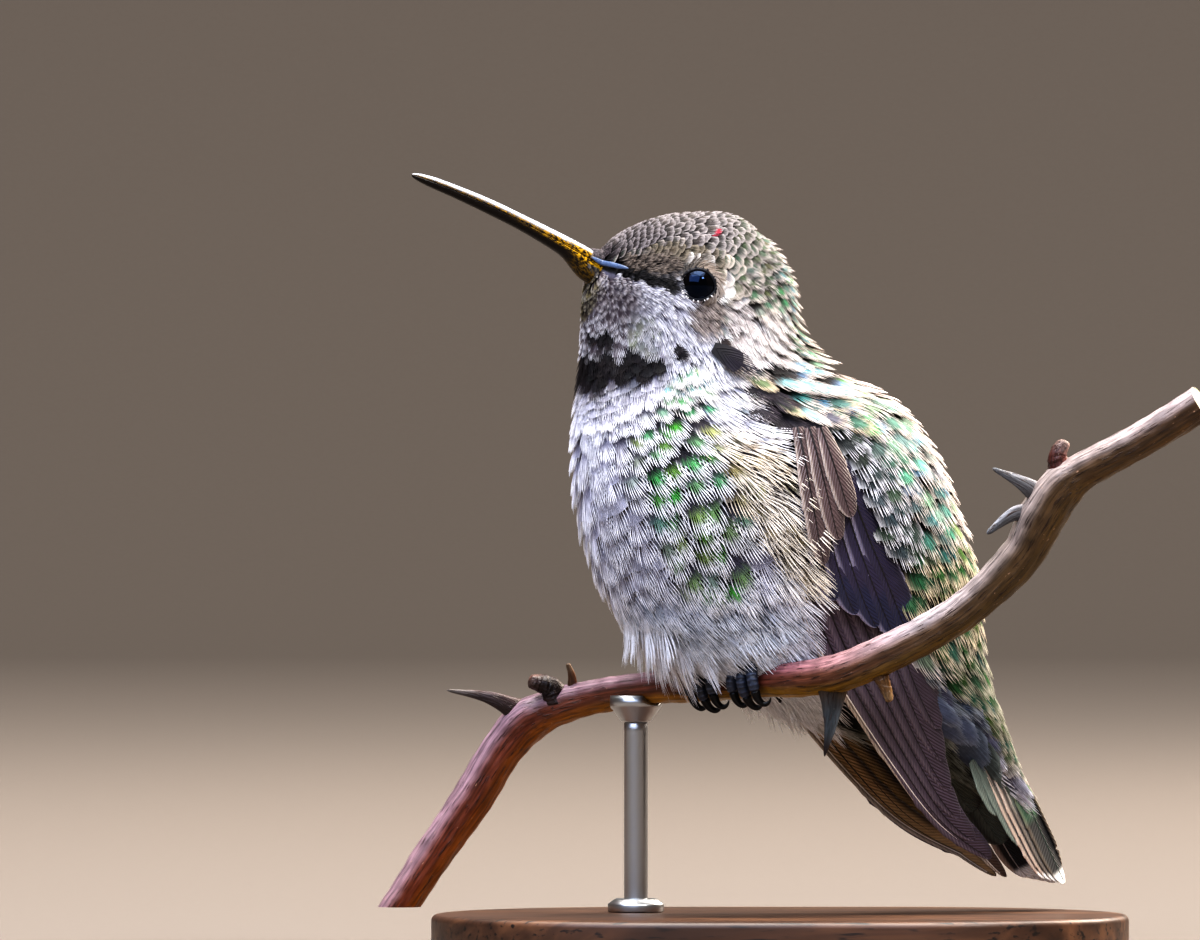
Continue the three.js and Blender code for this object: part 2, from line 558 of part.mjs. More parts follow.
// What the body keeps clear of: both wings, the bill, the eyes, the twig and the feet.
const pocket = wingPocket();
const clearances = [inBirdFrame(twigSolid(GAP)), solidOf(pocket), solidOf(mirrored(pocket)), solidOf(billSocket())];
for (const [side, sign] of Object.entries(SIDES)) {
  const eye = eyeCentre(sign);
  clearances.push(inBirdFrame(feet[side].room));
  clearances.push(solidOf(eyeball(GAP).translate(eye.x, eye.y, eye.z)));
}

for (const part of BODY_PIECES) {
  const cut = clearances.reduce((left, tool) => left.subtract(tool), bodySolid(part));
  bird.add(piece(part.name, geometryOf(cut), part.colour, 0.9));
}

bird.add(piece("bill_upper", mandible(1), COLOUR.bill, 0.35));
bird.add(piece("bill_lower", mandible(-1), COLOUR.bill, 0.35));

const tailFan = geometryOf(tailHalf());
for (const [side, sign] of Object.entries(SIDES)) {
  const eye = piece(`eye_${side}`, eyeball(), COLOUR.eye, 0.1);
  eye.position.copy(eyeCentre(sign));
  const tail = piece(`tail_${side}`, sign > 0 ? tailFan : mirrored(tailFan), COLOUR.tail, 0.6);
  bird.add(eye, tail);
}
for (const [row, sizes] of Object.entries(WING_ROWS)) {
  const feathers = geometryOf(wingRow(sizes));
  bird.add(piece(`wing_left_${row}`, feathers, sizes.colour, 0.6));
  bird.add(piece(`wing_right_${row}`, mirrored(feathers), sizes.colour, 0.6));
}

for (const [side, { foot, leg, claws }] of Object.entries(feet)) {
  hummingbird.add(piece(`foot_${side}`, geometryOf(foot), COLOUR.leg, 0.5));
  hummingbird.add(piece(`leg_${side}`, leg, COLOUR.leg, 0.5));
  claws.forEach(({ name, solid }) => hummingbird.add(piece(`claw_${side}_${name}`, geometryOf(solid), COLOUR.claw, 0.3)));
}

hummingbird.add(piece("perch_twig", geometryOf(twig), COLOUR.twig, 0.6));
const twigClearance = twigSolid(SNUG);
for (const { name, path, radii, flat } of SPURS) {
  const curve = new THREE.CatmullRomCurve3(path.map(vector));
  const spur = solidOf(taperedTube(curve, (share) => mix(radii[0], radii[1], share ** 0.7), SPUR_SIDES, SPUR_ROWS, flat));
  hummingbird.add(piece(name, geometryOf(spur.subtract(twigClearance)), COLOUR.thorn, 0.7));
}

hummingbird.add(piece("stand_base", standBase(), COLOUR.wood, 0.5));
const rodBottom = BASE.height + SNUG;
const rodHeight = twigCurve.getPoint(twigShareAt(ROD.x)).z - 3 - rodBottom;
const rodProfile = [[0, 0], [ROD.radius, 0], [ROD.radius, rodHeight], [0, rodHeight]];
hummingbird.add(piece("stand_rod", turned(rodProfile, ROD.x, ROD.y, rodBottom), COLOUR.steel, 0.35, 0.9));
const collarInner = ROD.radius + SNUG;
const collarProfile = [
  [collarInner, 0], [ROD.collarRadius, 0], [ROD.collarRadius, ROD.collarHeight * 0.6],
  [ROD.collarRadius * 0.75, ROD.collarHeight], [collarInner, ROD.collarHeight], [collarInner, 0],
];
hummingbird.add(piece("stand_collar", turned(collarProfile, ROD.x, ROD.y, rodBottom), COLOUR.steel, 0.35, 0.9));
const saddleProfile = [
  [0, 0], [ROD.radius * 1.3, 0], [SADDLE.radius, SADDLE.height * 0.6], [SADDLE.radius, SADDLE.height], [0, SADDLE.height],
];
const saddle = solidOf(turned(saddleProfile, ROD.x, ROD.y, rodBottom + rodHeight + SNUG)).subtract(twigClearance);
hummingbird.add(piece("stand_saddle", geometryOf(saddle), COLOUR.steel, 0.35, 0.9));

export default hummingbird;
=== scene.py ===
"""A life-size perched hummingbird on a cut twig and a plain stand: its looks, built round the CAD frame."""
import logging
import math
from dataclasses import dataclass, field
from enum import Enum
from typing import Any, Callable, Sequence

import bpy
import numpy as np
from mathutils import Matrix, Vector


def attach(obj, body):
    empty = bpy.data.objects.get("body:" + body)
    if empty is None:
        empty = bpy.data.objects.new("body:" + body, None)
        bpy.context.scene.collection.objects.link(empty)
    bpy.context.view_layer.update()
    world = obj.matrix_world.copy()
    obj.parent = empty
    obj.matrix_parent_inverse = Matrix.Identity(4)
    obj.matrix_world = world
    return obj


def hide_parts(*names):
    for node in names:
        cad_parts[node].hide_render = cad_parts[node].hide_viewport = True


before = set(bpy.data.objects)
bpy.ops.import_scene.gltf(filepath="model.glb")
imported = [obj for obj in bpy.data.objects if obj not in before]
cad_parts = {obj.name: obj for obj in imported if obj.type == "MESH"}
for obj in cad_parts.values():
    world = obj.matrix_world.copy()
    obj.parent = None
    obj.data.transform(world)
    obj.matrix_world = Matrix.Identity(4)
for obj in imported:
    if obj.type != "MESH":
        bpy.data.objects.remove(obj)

Array = np.ndarray
LOG = logging.getLogger("hummingbird")
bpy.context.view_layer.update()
MM = 0.001  # metres in a millimetre: every size in this script is in millimetres unless it says otherwise
BODY = "root"
PATCH = 0.003  # how wide one feather is on the bake map
LAP = 6.3  # a little over a full turn, so that the two sides of a seam stay apart on the bake map
MIDLINE = 0.3  # the sine of the angle round the section under which the folded wing hides nothing


class Side(Enum):
    """The two sides of the bird, as the sign of its own left-right axis."""

    LEFT = 1
    RIGHT = -1

    @property
    def word(self) -> str:
        """The side's name as the nodes spell it."""
        return self.name.lower()

    def span(self, low: float, high: float) -> tuple[float, float]:
        """Angles given for the left side as they are on this side, in rising order."""
        return (low, high) if self is Side.LEFT else (-high, -low)


# ---- Small helpers -------------------------------------------------------------------------------


def linear(colour: str) -> Array:
    """Turns an sRGB hex colour into linear red, green and blue.

    Args:
        colour: six hex digits, such as "8f9a7c".

    Returns:
        The three linear values.
    """
    srgb = np.array([int(colour[i:i + 2], 16) for i in (0, 2, 4)]) / 255
    return np.where(srgb <= 0.04045, srgb / 12.92, ((srgb + 0.055) / 1.055) ** 2.4)


def rgba(colour: str) -> tuple[float, ...]:
    """An sRGB hex colour as the linear RGBA value that a colour socket takes."""
    return (*linear(colour), 1.0)


def smooth(value: Array, low: float, high: float) -> Array:
    """Rises smoothly from 0 at low to 1 at high.

    Args:
        value: where to read the step.
        low: the value at which it starts.
        high: the value at which it ends, below low for a falling step.

    Returns:
        The step's height, from 0 to 1.
    """
    share = np.clip((value - low) / (high - low), 0, 1)
    return share * share * (3 - 2 * share)


def mix(a: Any, b: Any, share: Any) -> Any:
    """The value that lies the given share of the way from a to b."""
    return a + (b - a) * share


def unit(vectors: Array) -> Array:
    """The same vectors with a length of one."""
    return vectors / np.maximum(np.linalg.norm(vectors, axis=-1, keepdims=True), 1e-12)


def dot(a: Array, b: Array) -> Array:
    """The dot products of two arrays of vectors, keeping the last axis."""
    return np.sum(a * b, axis=-1, keepdims=True)


def per_mm(size: float) -> float:
    """The scale of a texture in object space whose features are this many millimetres across."""
    return 1 / (size * MM)


def paired(a: Array, b: Array) -> Array:
    """Two arrays, spread over each other's shapes, as places on a plane."""
    return np.stack(np.broadcast_arrays(a, b), -1)


def round_turn(count: int) -> Array:
    """That many angles, evenly spaced once round a circle."""
    return np.linspace(0, 2 * math.pi, count, endpoint=False)


def rounded_end(share: Array, start: float, least: float) -> Array:
    """How wide a thing with a rounded end is.

    Args:
        share: places along it.
        start: where its end starts to narrow.
        least: the square of its width at the very end, above 0 so that its faces keep an area.

    Returns:
        The share of its full width, from 1 before the start.
    """
    return np.sqrt(np.clip(1 - (np.clip(share - start, 0, 1) / (1 - start)) ** 2, least, 1))


def through(points: Array, share: Array) -> Array:
    """Points of a uniform Catmull-Rom curve whose end points count twice.

    Args:
        points: the curve's own points, one a row.
        share: places along it, counted in points.

    Returns:
        One row of values for each place.
    """
    last = len(points) - 1
    place = np.clip(share, 0, last)
    index = np.minimum(np.floor(place).astype(int), last - 1)
    t = (place - index)[..., None]
    before, a, b, after = (points[np.clip(index + k, 0, last)] for k in (-1, 0, 1, 2))
    leave, arrive = (b - before) / 2, (after - a) / 2
    return ((2 * a - 2 * b + leave + arrive) * t ** 3
            + (3 * b - 3 * a - 2 * leave - arrive) * t ** 2 + leave * t + a)


@dataclass
class Line:
    """A smooth line through chosen points, read by its length.

    Args:
        points: the points it runs through, one a row.
        steps: how many short straight parts its length is measured in.
    """

    points: Array
    steps: int = 240

    def __post_init__(self) -> None:
        """Mirrors the end points outwards and measures the line."""
        points = np.asarray(self.points, float)
        self.points = np.vstack([2 * points[0] - points[1], points, 2 * points[-1] - points[-2]])
        self._share = np.linspace(0, 1, self.steps + 1)
        lengths = np.linalg.norm(np.diff(self.by_point(self._share), axis=0), axis=1)
        self._walked = np.concatenate([[0], np.cumsum(lengths)])

    @property
    def length(self) -> float:
        """The line's length."""
        return float(self._walked[-1])

    def by_point(self, share: Array) -> Array:
        """Values at a share counted in points rather than in length."""
        return through(self.points, 1 + np.asarray(share) * (len(self.points) - 3))

    def at(self, share: Array) -> Array:
        """Points at shares of the line's length, straight on beyond its ends.

        Args:
            share: how far along, 0 at the start and 1 at the end.

        Returns:
            One row of values for each share.
        """
        share = np.asarray(share, float)
        inside = np.interp(np.clip(share, 0, 1) * self.length, self._walked, self._share)
        spots = self.by_point(inside)
        over = (share - np.clip(share, 0, 1))[..., None] * self.length
        return spots + over * self.heading(np.clip(share, 0.01, 0.99))

    def heading(self, share: Array) -> Array:
        """The line's direction.

        Args:
            share: shares of its length.

        Returns:
            A unit vector for each share.
        """
        low, high = (np.interp(np.clip(share + step, 0, 1) * self.length, self._walked, self._share)
                     for step in (-0.004, 0.004))
        return unit(self.by_point(high) - self.by_point(low))


# ---- Meshes --------------------------------------------------------------------------------------


def grid_faces(rows: int, columns: int, closed: bool = False) -> Array:
    """Quads over a grid of points.

    Args:
        rows: the number of rows of points.
        columns: the number of points in a row.
        closed: whether the last point of a row joins the first.

    Returns:
        Four point numbers for each face.
    """
    across = columns if closed else columns - 1
    row, column = np.meshgrid(np.arange(rows - 1), np.arange(across), indexing="ij")
    start, after = row * columns + column, row * columns + (column + 1) % columns
    return np.stack([start, after, after + columns, start + columns], -1).reshape(-1, 4)


@dataclass
class Draft:
    """The points and faces gathered for one piece, with the colour and the bake patch of each point.

    Args:
        points: the points' places, an array for each call of add.
        quads: the faces' point numbers, likewise.
        tints: the points' linear colours.
        patches: their places on the bake map.
        marks: other values of each point that the material reads, by name.
        count: how many points there are so far.
    """

    points: list[Array] = field(default_factory=list)
    quads: list[Array] = field(default_factory=list)
    tints: list[Array] = field(default_factory=list)
    patches: list[Array] = field(default_factory=list)
    marks: dict[str, list[Array]] = field(default_factory=dict)
    count: int = 0

    def add(self, points: Array, faces: Array, tint: Array, patch: Array, **marks: Array) -> None:
        """Adds many copies of one pattern of faces.

        Args:
            points: copies x points x 3, in the stand's frame.
            faces: the faces of one copy.
            tint: linear colours, in a shape that spreads over the points.
            patch: places on the bake map, likewise.
            marks: other values of each point that the material reads, by name.
        """
        copies, each = points.shape[:2]
        starts = self.count + np.arange(copies) * each
        self.points.append(points.reshape(-1, 3))
        self.quads.append((starts[:, None, None] + faces[None]).reshape(-1, 4))
        self.tints.append(np.broadcast_to(tint, points.shape).reshape(-1, 3))
        self.patches.append(np.broadcast_to(patch, (copies, each, 2)).reshape(-1, 2))
        for name, value in marks.items():
            self.marks.setdefault(name, []).append(np.broadcast_to(value, (copies, each)).reshape(-1))
        self.count += copies * each

    def sheet(self, rings: Array, tint: Array, patch: Array, **marks: Array | float) -> None:
        """Adds one skin of faces over rings of points that lie one after another.

        Args:
            rings: rings x points in a ring x 3, in the stand's frame.
            tint: linear colours, in a shape that spreads over the rings.
            patch: places on the bake map, one for each point.
            marks: other values of each point that the material reads, by name.
        """
        rows, columns = rings.shape[:2]
        marks = {name: np.broadcast_to(value, (rows, columns)).reshape(1, -1) for name,
                 value in marks.items()}
        self.add(rings.reshape(1, -1, 3), grid_faces(rows, columns, True),
                 np.broadcast_to(tint, rings.shape).reshape(1, -1, 3), patch.reshape(1, -1, 2), **marks)

    def piece(self, name: str, finish: "Finish", slot: str, replaces: Sequence[str] = ()) -> bpy.types.Object:
        """Makes the Blender object and hands it to the frame.

        Args:
            name: the piece's name.
            finish: what its surface is.
            slot: not used.
            replaces: the CAD nodes that it stands for.

        Returns:
            The finished object.
        """
        points, quads = np.vstack(self.points) * MM, np.vstack(self.quads)
        mesh = bpy.data.meshes.new(name)
        mesh.vertices.add(len(points))
        mesh.vertices.foreach_set("co", points.astype(np.float32).ravel())
        mesh.loops.add(quads.size)
        mesh.loops.foreach_set("vertex_index", quads.astype(np.int32).ravel())
        mesh.polygons.add(len(quads))
        mesh.polygons.foreach_set("loop_start", np.arange(0, quads.size, 4, dtype=np.int32))
        mesh.polygons.foreach_set("use_smooth", np.ones(len(quads), bool))
        tint = mesh.color_attributes.new("tint", "FLOAT_COLOR", "POINT")
        colours = np.column_stack([np.vstack(self.tints), np.ones(len(points))])
        tint.data.foreach_set("color", colours.astype(np.float32).ravel())
        for mark, values in self.marks.items():
            attribute = mesh.attributes.new(mark, "FLOAT", "POINT")
            attribute.data.foreach_set("value", np.concatenate(values).astype(np.float32))
        bake = mesh.uv_layers.new(name="OFBake")
        bake.data.foreach_set("uv", np.vstack(self.patches)[quads.ravel()].astype(np.float32).ravel())
        mesh.update(calc_edges=True)
        mesh.validate()
        made = bpy.data.objects.new(name, mesh)
        bpy.context.scene.collection.objects.link(made)
        mesh.materials.append(finish.material())
        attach(made, BODY)
        if replaces:
            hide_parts(*replaces)
        LOG.info("%s: %d triangles", name, 2 * len(quads))
        return made


def loop_tube(centres: Array, across: Array, up: Array, widths: Array, heights: Array, sides: int) -> Array:
    """Oval rings of points about a line.

    Args:
        centres: the middle of each ring.
        across: each ring's sideways direction.
        up: each ring's upward direction.
        widths: each ring's half width.
        heights: each ring's half height.
        sides: the number of points in a ring.

    Returns:
        Rings x sides x 3 points.
    """
    angle = round_turn(sides)[None, :, None]
    return (centres[:, None] + across[:, None] * widths[:, None, None] * np.cos(angle)
            + up[:, None] * heights[:, None, None] * np.sin(angle))


def carried_frames(way: Array, start: Array) -> tuple[Array, Array]:
    """Sideways and upward directions along a line, carried from its start without twist.

    Args:
        way: the line's direction at each ring.
        start: the sideways direction wanted at its start.

    Returns:
        The sideways and the upward directions.
    """
    across = np.empty_like(way)
    side = np.asarray(start, float)
    for i, along in enumerate(way):
        side = side - along * np.dot(side, along)
        side = side / np.linalg.norm(side)
        across[i] = side
    return across, -np.cross(way, across)


# ---- Finishes ------------------------------------------------------------------------------------

Tree = bpy.types.NodeTree
Socket = bpy.types.NodeSocket
KERATIN_IOR = 1.54
NOISE_SPAN = {"From Min": 0.3, "From Max": 0.7}  # where nearly all of a noise's values lie
MIX_SHARE, MIX_A, MIX_B, MIX_OUT = 0, 6, 7, 2  # the colour sockets of a Mix node


def add_node(tree: Tree, kind: str, settings: dict | None = None,
             links: dict | None = None) -> bpy.types.Node:
    """Adds a shader node with its settings and links.

    Args:
        tree: the material's node tree.
        kind: the node's type without its ShaderNode prefix.
        settings: values by socket name or number, or by the node's own property; stops fills a colour ramp.
        links: the socket, or the node whose first output, feeds each input, by the input's name or number.

    Returns:
        The new node.
    """
    made = tree.nodes.new("ShaderNode" + kind)
    for key, value in (settings or {}).items():
        if key == "stops":
            made.color_ramp.elements.remove(made.color_ramp.elements[1])
            made.color_ramp.elements[0].position = value[0][0]
            made.color_ramp.elements[0].color = rgba(value[0][1])
            for place, colour in value[1:]:
                made.color_ramp.elements.new(place).color = rgba(colour)
        elif isinstance(key, int) or key in made.inputs:
            made.inputs[key].default_value = value
        else:
            setattr(made, key, value)
    for key, source in (links or {}).items():
        tree.links.new(source if isinstance(source, Socket) else source.outputs[0], made.inputs[key])
    return made


@dataclass(frozen=True)
class Finish:
    """A surface: what it is made of and how it was formed.

    Args:
        name: the material's name.
    """

    name: str

    def material(self) -> bpy.types.Material:
        """Makes the Blender material, once.

        Returns:
            The material.
        """
        made = bpy.data.materials.get(self.name)
        if not made:
            made = bpy.data.materials.new(self.name)
            made.use_nodes = True
            made.node_tree.nodes.clear()
            shader = add_node(made.node_tree, "BsdfPrincipled", *self.dress(made.node_tree))
            add_node(made.node_tree, "OutputMaterial", links={"Surface": shader})
        return made

    def dress(self, tree: Tree) -> tuple[dict, dict]:
        """Adds the finish's own nodes.

        Args:
            tree: the material's node tree.

        Returns:
            The shader's values, and what feeds its linked sockets.
        """
        raise NotImplementedError

    @staticmethod
    def mottled(tree: Tree, size: float, low: float, high: float) -> Socket:
        """The points' own tint, made lighter and darker in soft patches.

        Args:
            tree: the material's node tree.
            size: the patches' width in millimetres.
            low: how much of the tint the darkest patches keep.
            high: how much the lightest patches have.

        Returns:
            The colour socket.
        """
        tint = add_node(tree, "Attribute", {"attribute_name": "tint"})
        place = add_node(tree, "TexCoord").outputs["Object"]
        noise = add_node(tree, "TexNoise", {"Scale": per_mm(size), "Detail": 4.0}, {"Vector": place})
        level = add_node(tree, "MapRange", {**NOISE_SPAN, "To Min": low, "To Max": high}, {"Value": noise})
        return add_node(tree, "VectorMath", {"operation": "SCALE"}, {0: tint, "Scale": level}).outputs[0]

    @staticmethod
    def run_noise(tree: Tree, length: float, width: float, detail: float = 4.0,
                  offset: float = 0.0) -> Socket:
        """Noise drawn out along a stem, from the points' places along and across it.

        Args:
            tree: the material's node tree.
            length: how long a streak is, in millimetres.
            width: how wide it is.
            detail: how many finer layers it has.
            offset: moves the pattern, so that two of them differ.

        Returns:
            The noise's value socket.
        """
        run, east, north = (add_node(tree, "Attribute", {"attribute_name": mark}).outputs["Fac"]
                            for mark in ("run", "east", "north"))
        along = add_node(tree, "Math", {"operation": "MULTIPLY_ADD", 1: width / length, 2: offset}, {0: run})
        place = add_node(tree, "CombineXYZ", links={"X": along, "Y": east, "Z": north})
        return add_node(tree, "TexNoise", {"Scale": 1 / width, "Detail": detail},
                        {"Vector": place}).outputs[0]


@dataclass(frozen=True)
class ContourFeather(Finish):
    """Keratin barbs of body feathers, grown and preened: matt and soft, glossier on iridescent discs.

    Args:
        roughness: how rough the barbs are.
        disc_roughness: how rough the iridescent discs are.
        disc_metal: how metallic the discs are.
        barbule: the width of the barbules' pattern, in millimetres.
    """

    roughness: float = 0.62
    disc_roughness: float = 0.36
    disc_metal: float = 0.55
    barbule: float = 0.09  # barbules are 0.03 mm apart; drawn this wide, they still show

    def dress(self, tree: Tree) -> tuple[dict, dict]:
        """Mottles the barbs' tint; the gloss mark turns the discs to shot, metallic colour.

        Args:
            tree: the material's node tree.

        Returns:
            The shader's values, and what feeds its linked sockets.
        """
        gloss = add_node(tree, "Attribute", {"attribute_name": "gloss"}).outputs["Fac"]
        place = add_node(tree, "TexCoord").outputs["Object"]
        barbules = add_node(tree, "TexNoise", {"Scale": per_mm(self.barbule), "Detail": 2.0},
                            {"Vector": place})
        dull = {"To Min": self.roughness, "To Max": self.disc_roughness}
        shader = {"IOR": KERATIN_IOR, "Specular IOR Level": 0.25, "Sheen Weight": 0.03,
                  "Sheen Roughness": 0.4}
        return shader, {
            "Base Color": self.mottled(tree, 0.5, 0.86, 1.12),
            "Roughness": add_node(tree, "MapRange", dull, {"Value": gloss}),
            "Metallic": add_node(tree, "MapRange", {"To Max": self.disc_metal}, {"Value": gloss}),
            "Normal": add_node(tree, "Bump", {"Strength": 0.35, "Distance": 0.03 * MM}, {"Height": barbules}),
        }


@dataclass(frozen=True)
class FlightFeather(Finish):
    """Stiff keratin vanes of wing and tail: barbs zipped into a smooth sheet with fine slanting lines.

    Args:
        groove: the depth between barbs, in millimetres.
    """

    groove: float = 0.05

    def dress(self, tree: Tree) -> tuple[dict, dict]:
        """Lines the vane with its barbs, which the barb mark counts, in colour and in relief.

        Args:
            tree: the material's node tree.

        Returns:
            The shader's values, and what feeds its linked sockets.
        """
        barb = add_node(tree, "Attribute", {"attribute_name": "barb"}).outputs["Fac"]
        turn = add_node(tree, "Math", {"operation": "MULTIPLY", 1: 2 * math.pi}, {0: barb})
        wave = add_node(tree, "Math", {"operation": "SINE"}, {0: turn})
        level = add_node(tree, "MapRange", {"From Min": -1.0, "To Min": 0.86, "To Max": 1.06},
                         {"Value": wave})
        gloss = add_node(tree, "Attribute", {"attribute_name": "gloss"}).outputs["Fac"]
        return {"IOR": KERATIN_IOR, "Sheen Weight": 0.08}, {
            "Base Color": add_node(tree, "VectorMath", {"operation": "SCALE"},
                                   {0: self.mottled(tree, 1.6, 0.86, 1.14), "Scale": level}),
            "Roughness": add_node(tree, "MapRange", {"To Min": 0.5, "To Max": 0.3}, {"Value": gloss}),
            "Normal": add_node(tree, "Bump", {"Strength": 0.6, "Distance": self.groove * MM},
                               {"Height": wave}),
        }


@dataclass(frozen=True)
class BareSkin(Finish):
    """Skin under the coat and round the eyes: thin, dull and finely creased.

    Args:
        roughness: how rough it is.
        crease: how far apart the creases are, in millimetres.
    """

    roughness: float = 0.7
    crease: float = 0.16

    def dress(self, tree: Tree) -> tuple[dict, dict]:
        """Mottles the tint and creases it.

        Args:
            tree: the material's node tree.

        Returns:
            The shader's values, and what feeds its linked sockets.
        """
        place = add_node(tree, "TexCoord").outputs["Object"]
        creases = add_node(tree, "TexVoronoi", {"Scale": per_mm(self.crease)}, {"Vector": place})
        return {"Roughness": self.roughness}, {
            "Base Color": self.mottled(tree, 0.6, 0.75, 1.15),
            "Normal": add_node(tree, "Bump", {"Strength": 0.7, "Distance": 0.04 * MM}, {"Height": creases}),
        }


@dataclass(frozen=True)
class Cornea(Finish):
    """The eyeball: a wet clear cornea over a nearly black iris."""

    def dress(self, tree: Tree) -> tuple[dict, dict]:
        """A dark, mirror-smooth surface, wet with tears, whose reflections are bluish.

        Args:
            tree: the material's node tree.

        Returns:
            The shader's values, and what feeds its linked sockets.
        """
        return ({"Roughness": 0.03, "IOR": 1.376, "Specular Tint": rgba("86b4ff")},
                {"Base Color": self.mottled(tree, 0.25, 0.8, 1.2)})


@dataclass(frozen=True)
class Horn(Finish):
    """Keratin grown as solid horn, as in bill and claws: smooth and waxy; the pale band along the bill's top
    is a painted highlight in its points' tint.

    Args:
        roughness: how rough it is, on the whole.
        gilt: the colour of its yellow flecks.
    """

    roughness: float = 0.3
    gilt: str = "cb9c18"

    def dress(self, tree: Tree) -> tuple[dict, dict]:
        """Adds flecks of yellow horn where the gild mark allows them, and fine growth lines.

        Args:
            tree: the material's node tree.

        Returns:
            The shader's values, and what feeds its linked sockets.
        """
        gild = add_node(tree, "Attribute", {"attribute_name": "gild"}).outputs["Fac"]
        flecks = add_node(tree, "MapRange", {"From Min": 0.44, "From Max": 0.6},
                          {"Value": self.run_noise(tree, 0.3, 0.09, 5.0)})
        share = add_node(tree, "Math", {"operation": "MULTIPLY"}, {0: gild, 1: flecks})
        colour = add_node(tree, "Mix", {"data_type": "RGBA", MIX_B: rgba(self.gilt)},
                          {MIX_SHARE: share, MIX_A: self.mottled(tree, 0.4, 0.75, 1.25)})
        lines = self.run_noise(tree, 2.0, 0.07, 2.0, 5.0)
        dull = {"To Min": self.roughness - 0.08, "To Max": self.roughness + 0.1}
        return {"IOR": 1.5, "Specular IOR Level": 0.3}, {
            "Base Color": colour.outputs[MIX_OUT],
            "Roughness": add_node(tree, "MapRange", dull, {"Value": lines}),
            "Normal": add_node(tree, "Bump", {"Strength": 0.3, "Distance": 0.02 * MM}, {"Height": lines}),
        }


@dataclass(frozen=True)
class Scute(Finish):
    """Horny scales on the bare foot: dark slate plates with a dull shine and paler joints."""

    def dress(self, tree: Tree) -> tuple[dict, dict]:
        """Plates come from the mesh; this adds their grain.

        Args:
            tree: the material's node tree.

        Returns:
            The shader's values, and what feeds its linked sockets.
        """
        place = add_node(tree, "TexCoord").outputs["Object"]
        grain = add_node(tree, "TexVoronoi", {"Scale": per_mm(0.2)}, {"Vector": place})
        return {"Roughness": 0.42, "IOR": 1.5}, {
            "Base Color": self.mottled(tree, 0.18, 0.6, 1.35),
            "Normal": add_node(tree, "Bump", {"Strength": 0.5, "Distance": 0.03 * MM}, {"Height": grain}),
        }


@dataclass(frozen=True)
class Bark(Finish):
    """Thin bark of a living shoot, stretched by growth: long fibres, dark cracks and small pale pores.

    Args:
        crack: the colour in the cracks.
        pore: the colour of the pores.
        fibre: how wide a fibre is, in millimetres.
    """

    crack: str = "2a1712"
    pore: str = "c9a184"
    fibre: float = 0.22

    def dress(self, tree: Tree) -> tuple[dict, dict]:
        """Streaks the tint along the stem, then lays cracks and pores over it.

        Args:
            tree: the material's node tree.

        Returns:
            The shader's values, and what feeds its linked sockets.
        """
        streak = self.run_noise(tree, 4.5, self.fibre)
        level = add_node(tree, "MapRange", {**NOISE_SPAN, "To Min": 0.55, "To Max": 1.5}, {"Value": streak})
        colour = add_node(tree, "VectorMath", {"operation": "SCALE"},
                          {0: self.mottled(tree, 1.8, 0.8, 1.2), "Scale": level}).outputs[0]
        cracks = add_node(tree, "MapRange", {"From Min": 0.58, "From Max": 0.7, "To Max": 0.85},
                          {"Value": self.run_noise(tree, 1.6, 0.16, 4.0, 9.0)})
        pores = add_node(tree, "MapRange", {"From Min": 0.74, "From Max": 0.8, "To Max": 0.5},
                         {"Value": self.run_noise(tree, 0.5, 0.22, 1.0, 31.0)})
        for share, laid in ((cracks, self.crack), (pores, self.pore)):
            colour = add_node(tree, "Mix", {"data_type": "RGBA", MIX_B: rgba(laid)},
                              {MIX_SHARE: share, MIX_A: colour}).outputs[MIX_OUT]
        height = add_node(tree, "Math", {"operation": "SUBTRACT"}, {0: streak, 1: cracks})
        return {"IOR": 1.45}, {
            "Base Color": colour,
            "Roughness": add_node(tree, "MapRange", {**NOISE_SPAN, "To Min": 0.28, "To Max": 0.5},
                                  {"Value": streak}),
            "Normal": add_node(tree, "Bump", {"Strength": 0.75, "Distance": 0.09 * MM}, {"Height": height}),
        }


@dataclass(frozen=True)
class OiledWalnut(Finish):
    """Walnut board, planed and oiled: brown grain with fine open pores and a low satin shine.

    Args:
        grain: the colours through a growth ring, by place.
        pore: the colour in the pores.
    """

    grain: tuple = ((0.3, "2e1d14"), (0.5, "4a3122"), (0.68, "6b4a33"))
    pore: str = "1d120c"

    def dress(self, tree: Tree) -> tuple[dict, dict]:
        """Bands the board with growth rings drawn out along its length, then pores it.

        Args:
            tree: the material's node tree.

        Returns:
            The shader's values, and what feeds its linked sockets.
        """
        place = add_node(tree, "TexCoord").outputs["Object"]
        drawn = add_node(tree, "Mapping", {"Scale": (0.12, 1.0, 1.0)}, {"Vector": place})
        rings = add_node(tree, "TexNoise", {"Scale": per_mm(4.0), "Detail": 5.0, "Distortion": 1.2},
                         {"Vector": drawn})
        colour = add_node(tree, "ValToRGB", {"stops": self.grain}, {"Fac": rings})
        pores = add_node(tree, "TexNoise", {"Scale": per_mm(0.5), "Detail": 3.0}, {"Vector": drawn})
        sunk = add_node(tree, "MapRange", {"From Min": 0.58, "From Max": 0.66}, {"Value": pores})
        pored = add_node(tree, "Mix", {"data_type": "RGBA", MIX_B: rgba(self.pore)},
                         {MIX_SHARE: sunk, MIX_A: colour})
        return {"IOR": 1.47, "Coat Weight": 0.2, "Coat Roughness": 0.3}, {
            "Base Color": pored.outputs[MIX_OUT],
            "Roughness": add_node(tree, "MapRange", {"To Min": 0.38, "To Max": 0.58}, {"Value": pores}),
            "Normal": add_node(tree, "Bump", {"Strength": 0.3, "Distance": 0.05 * MM}, {"Height": pores}),
        }


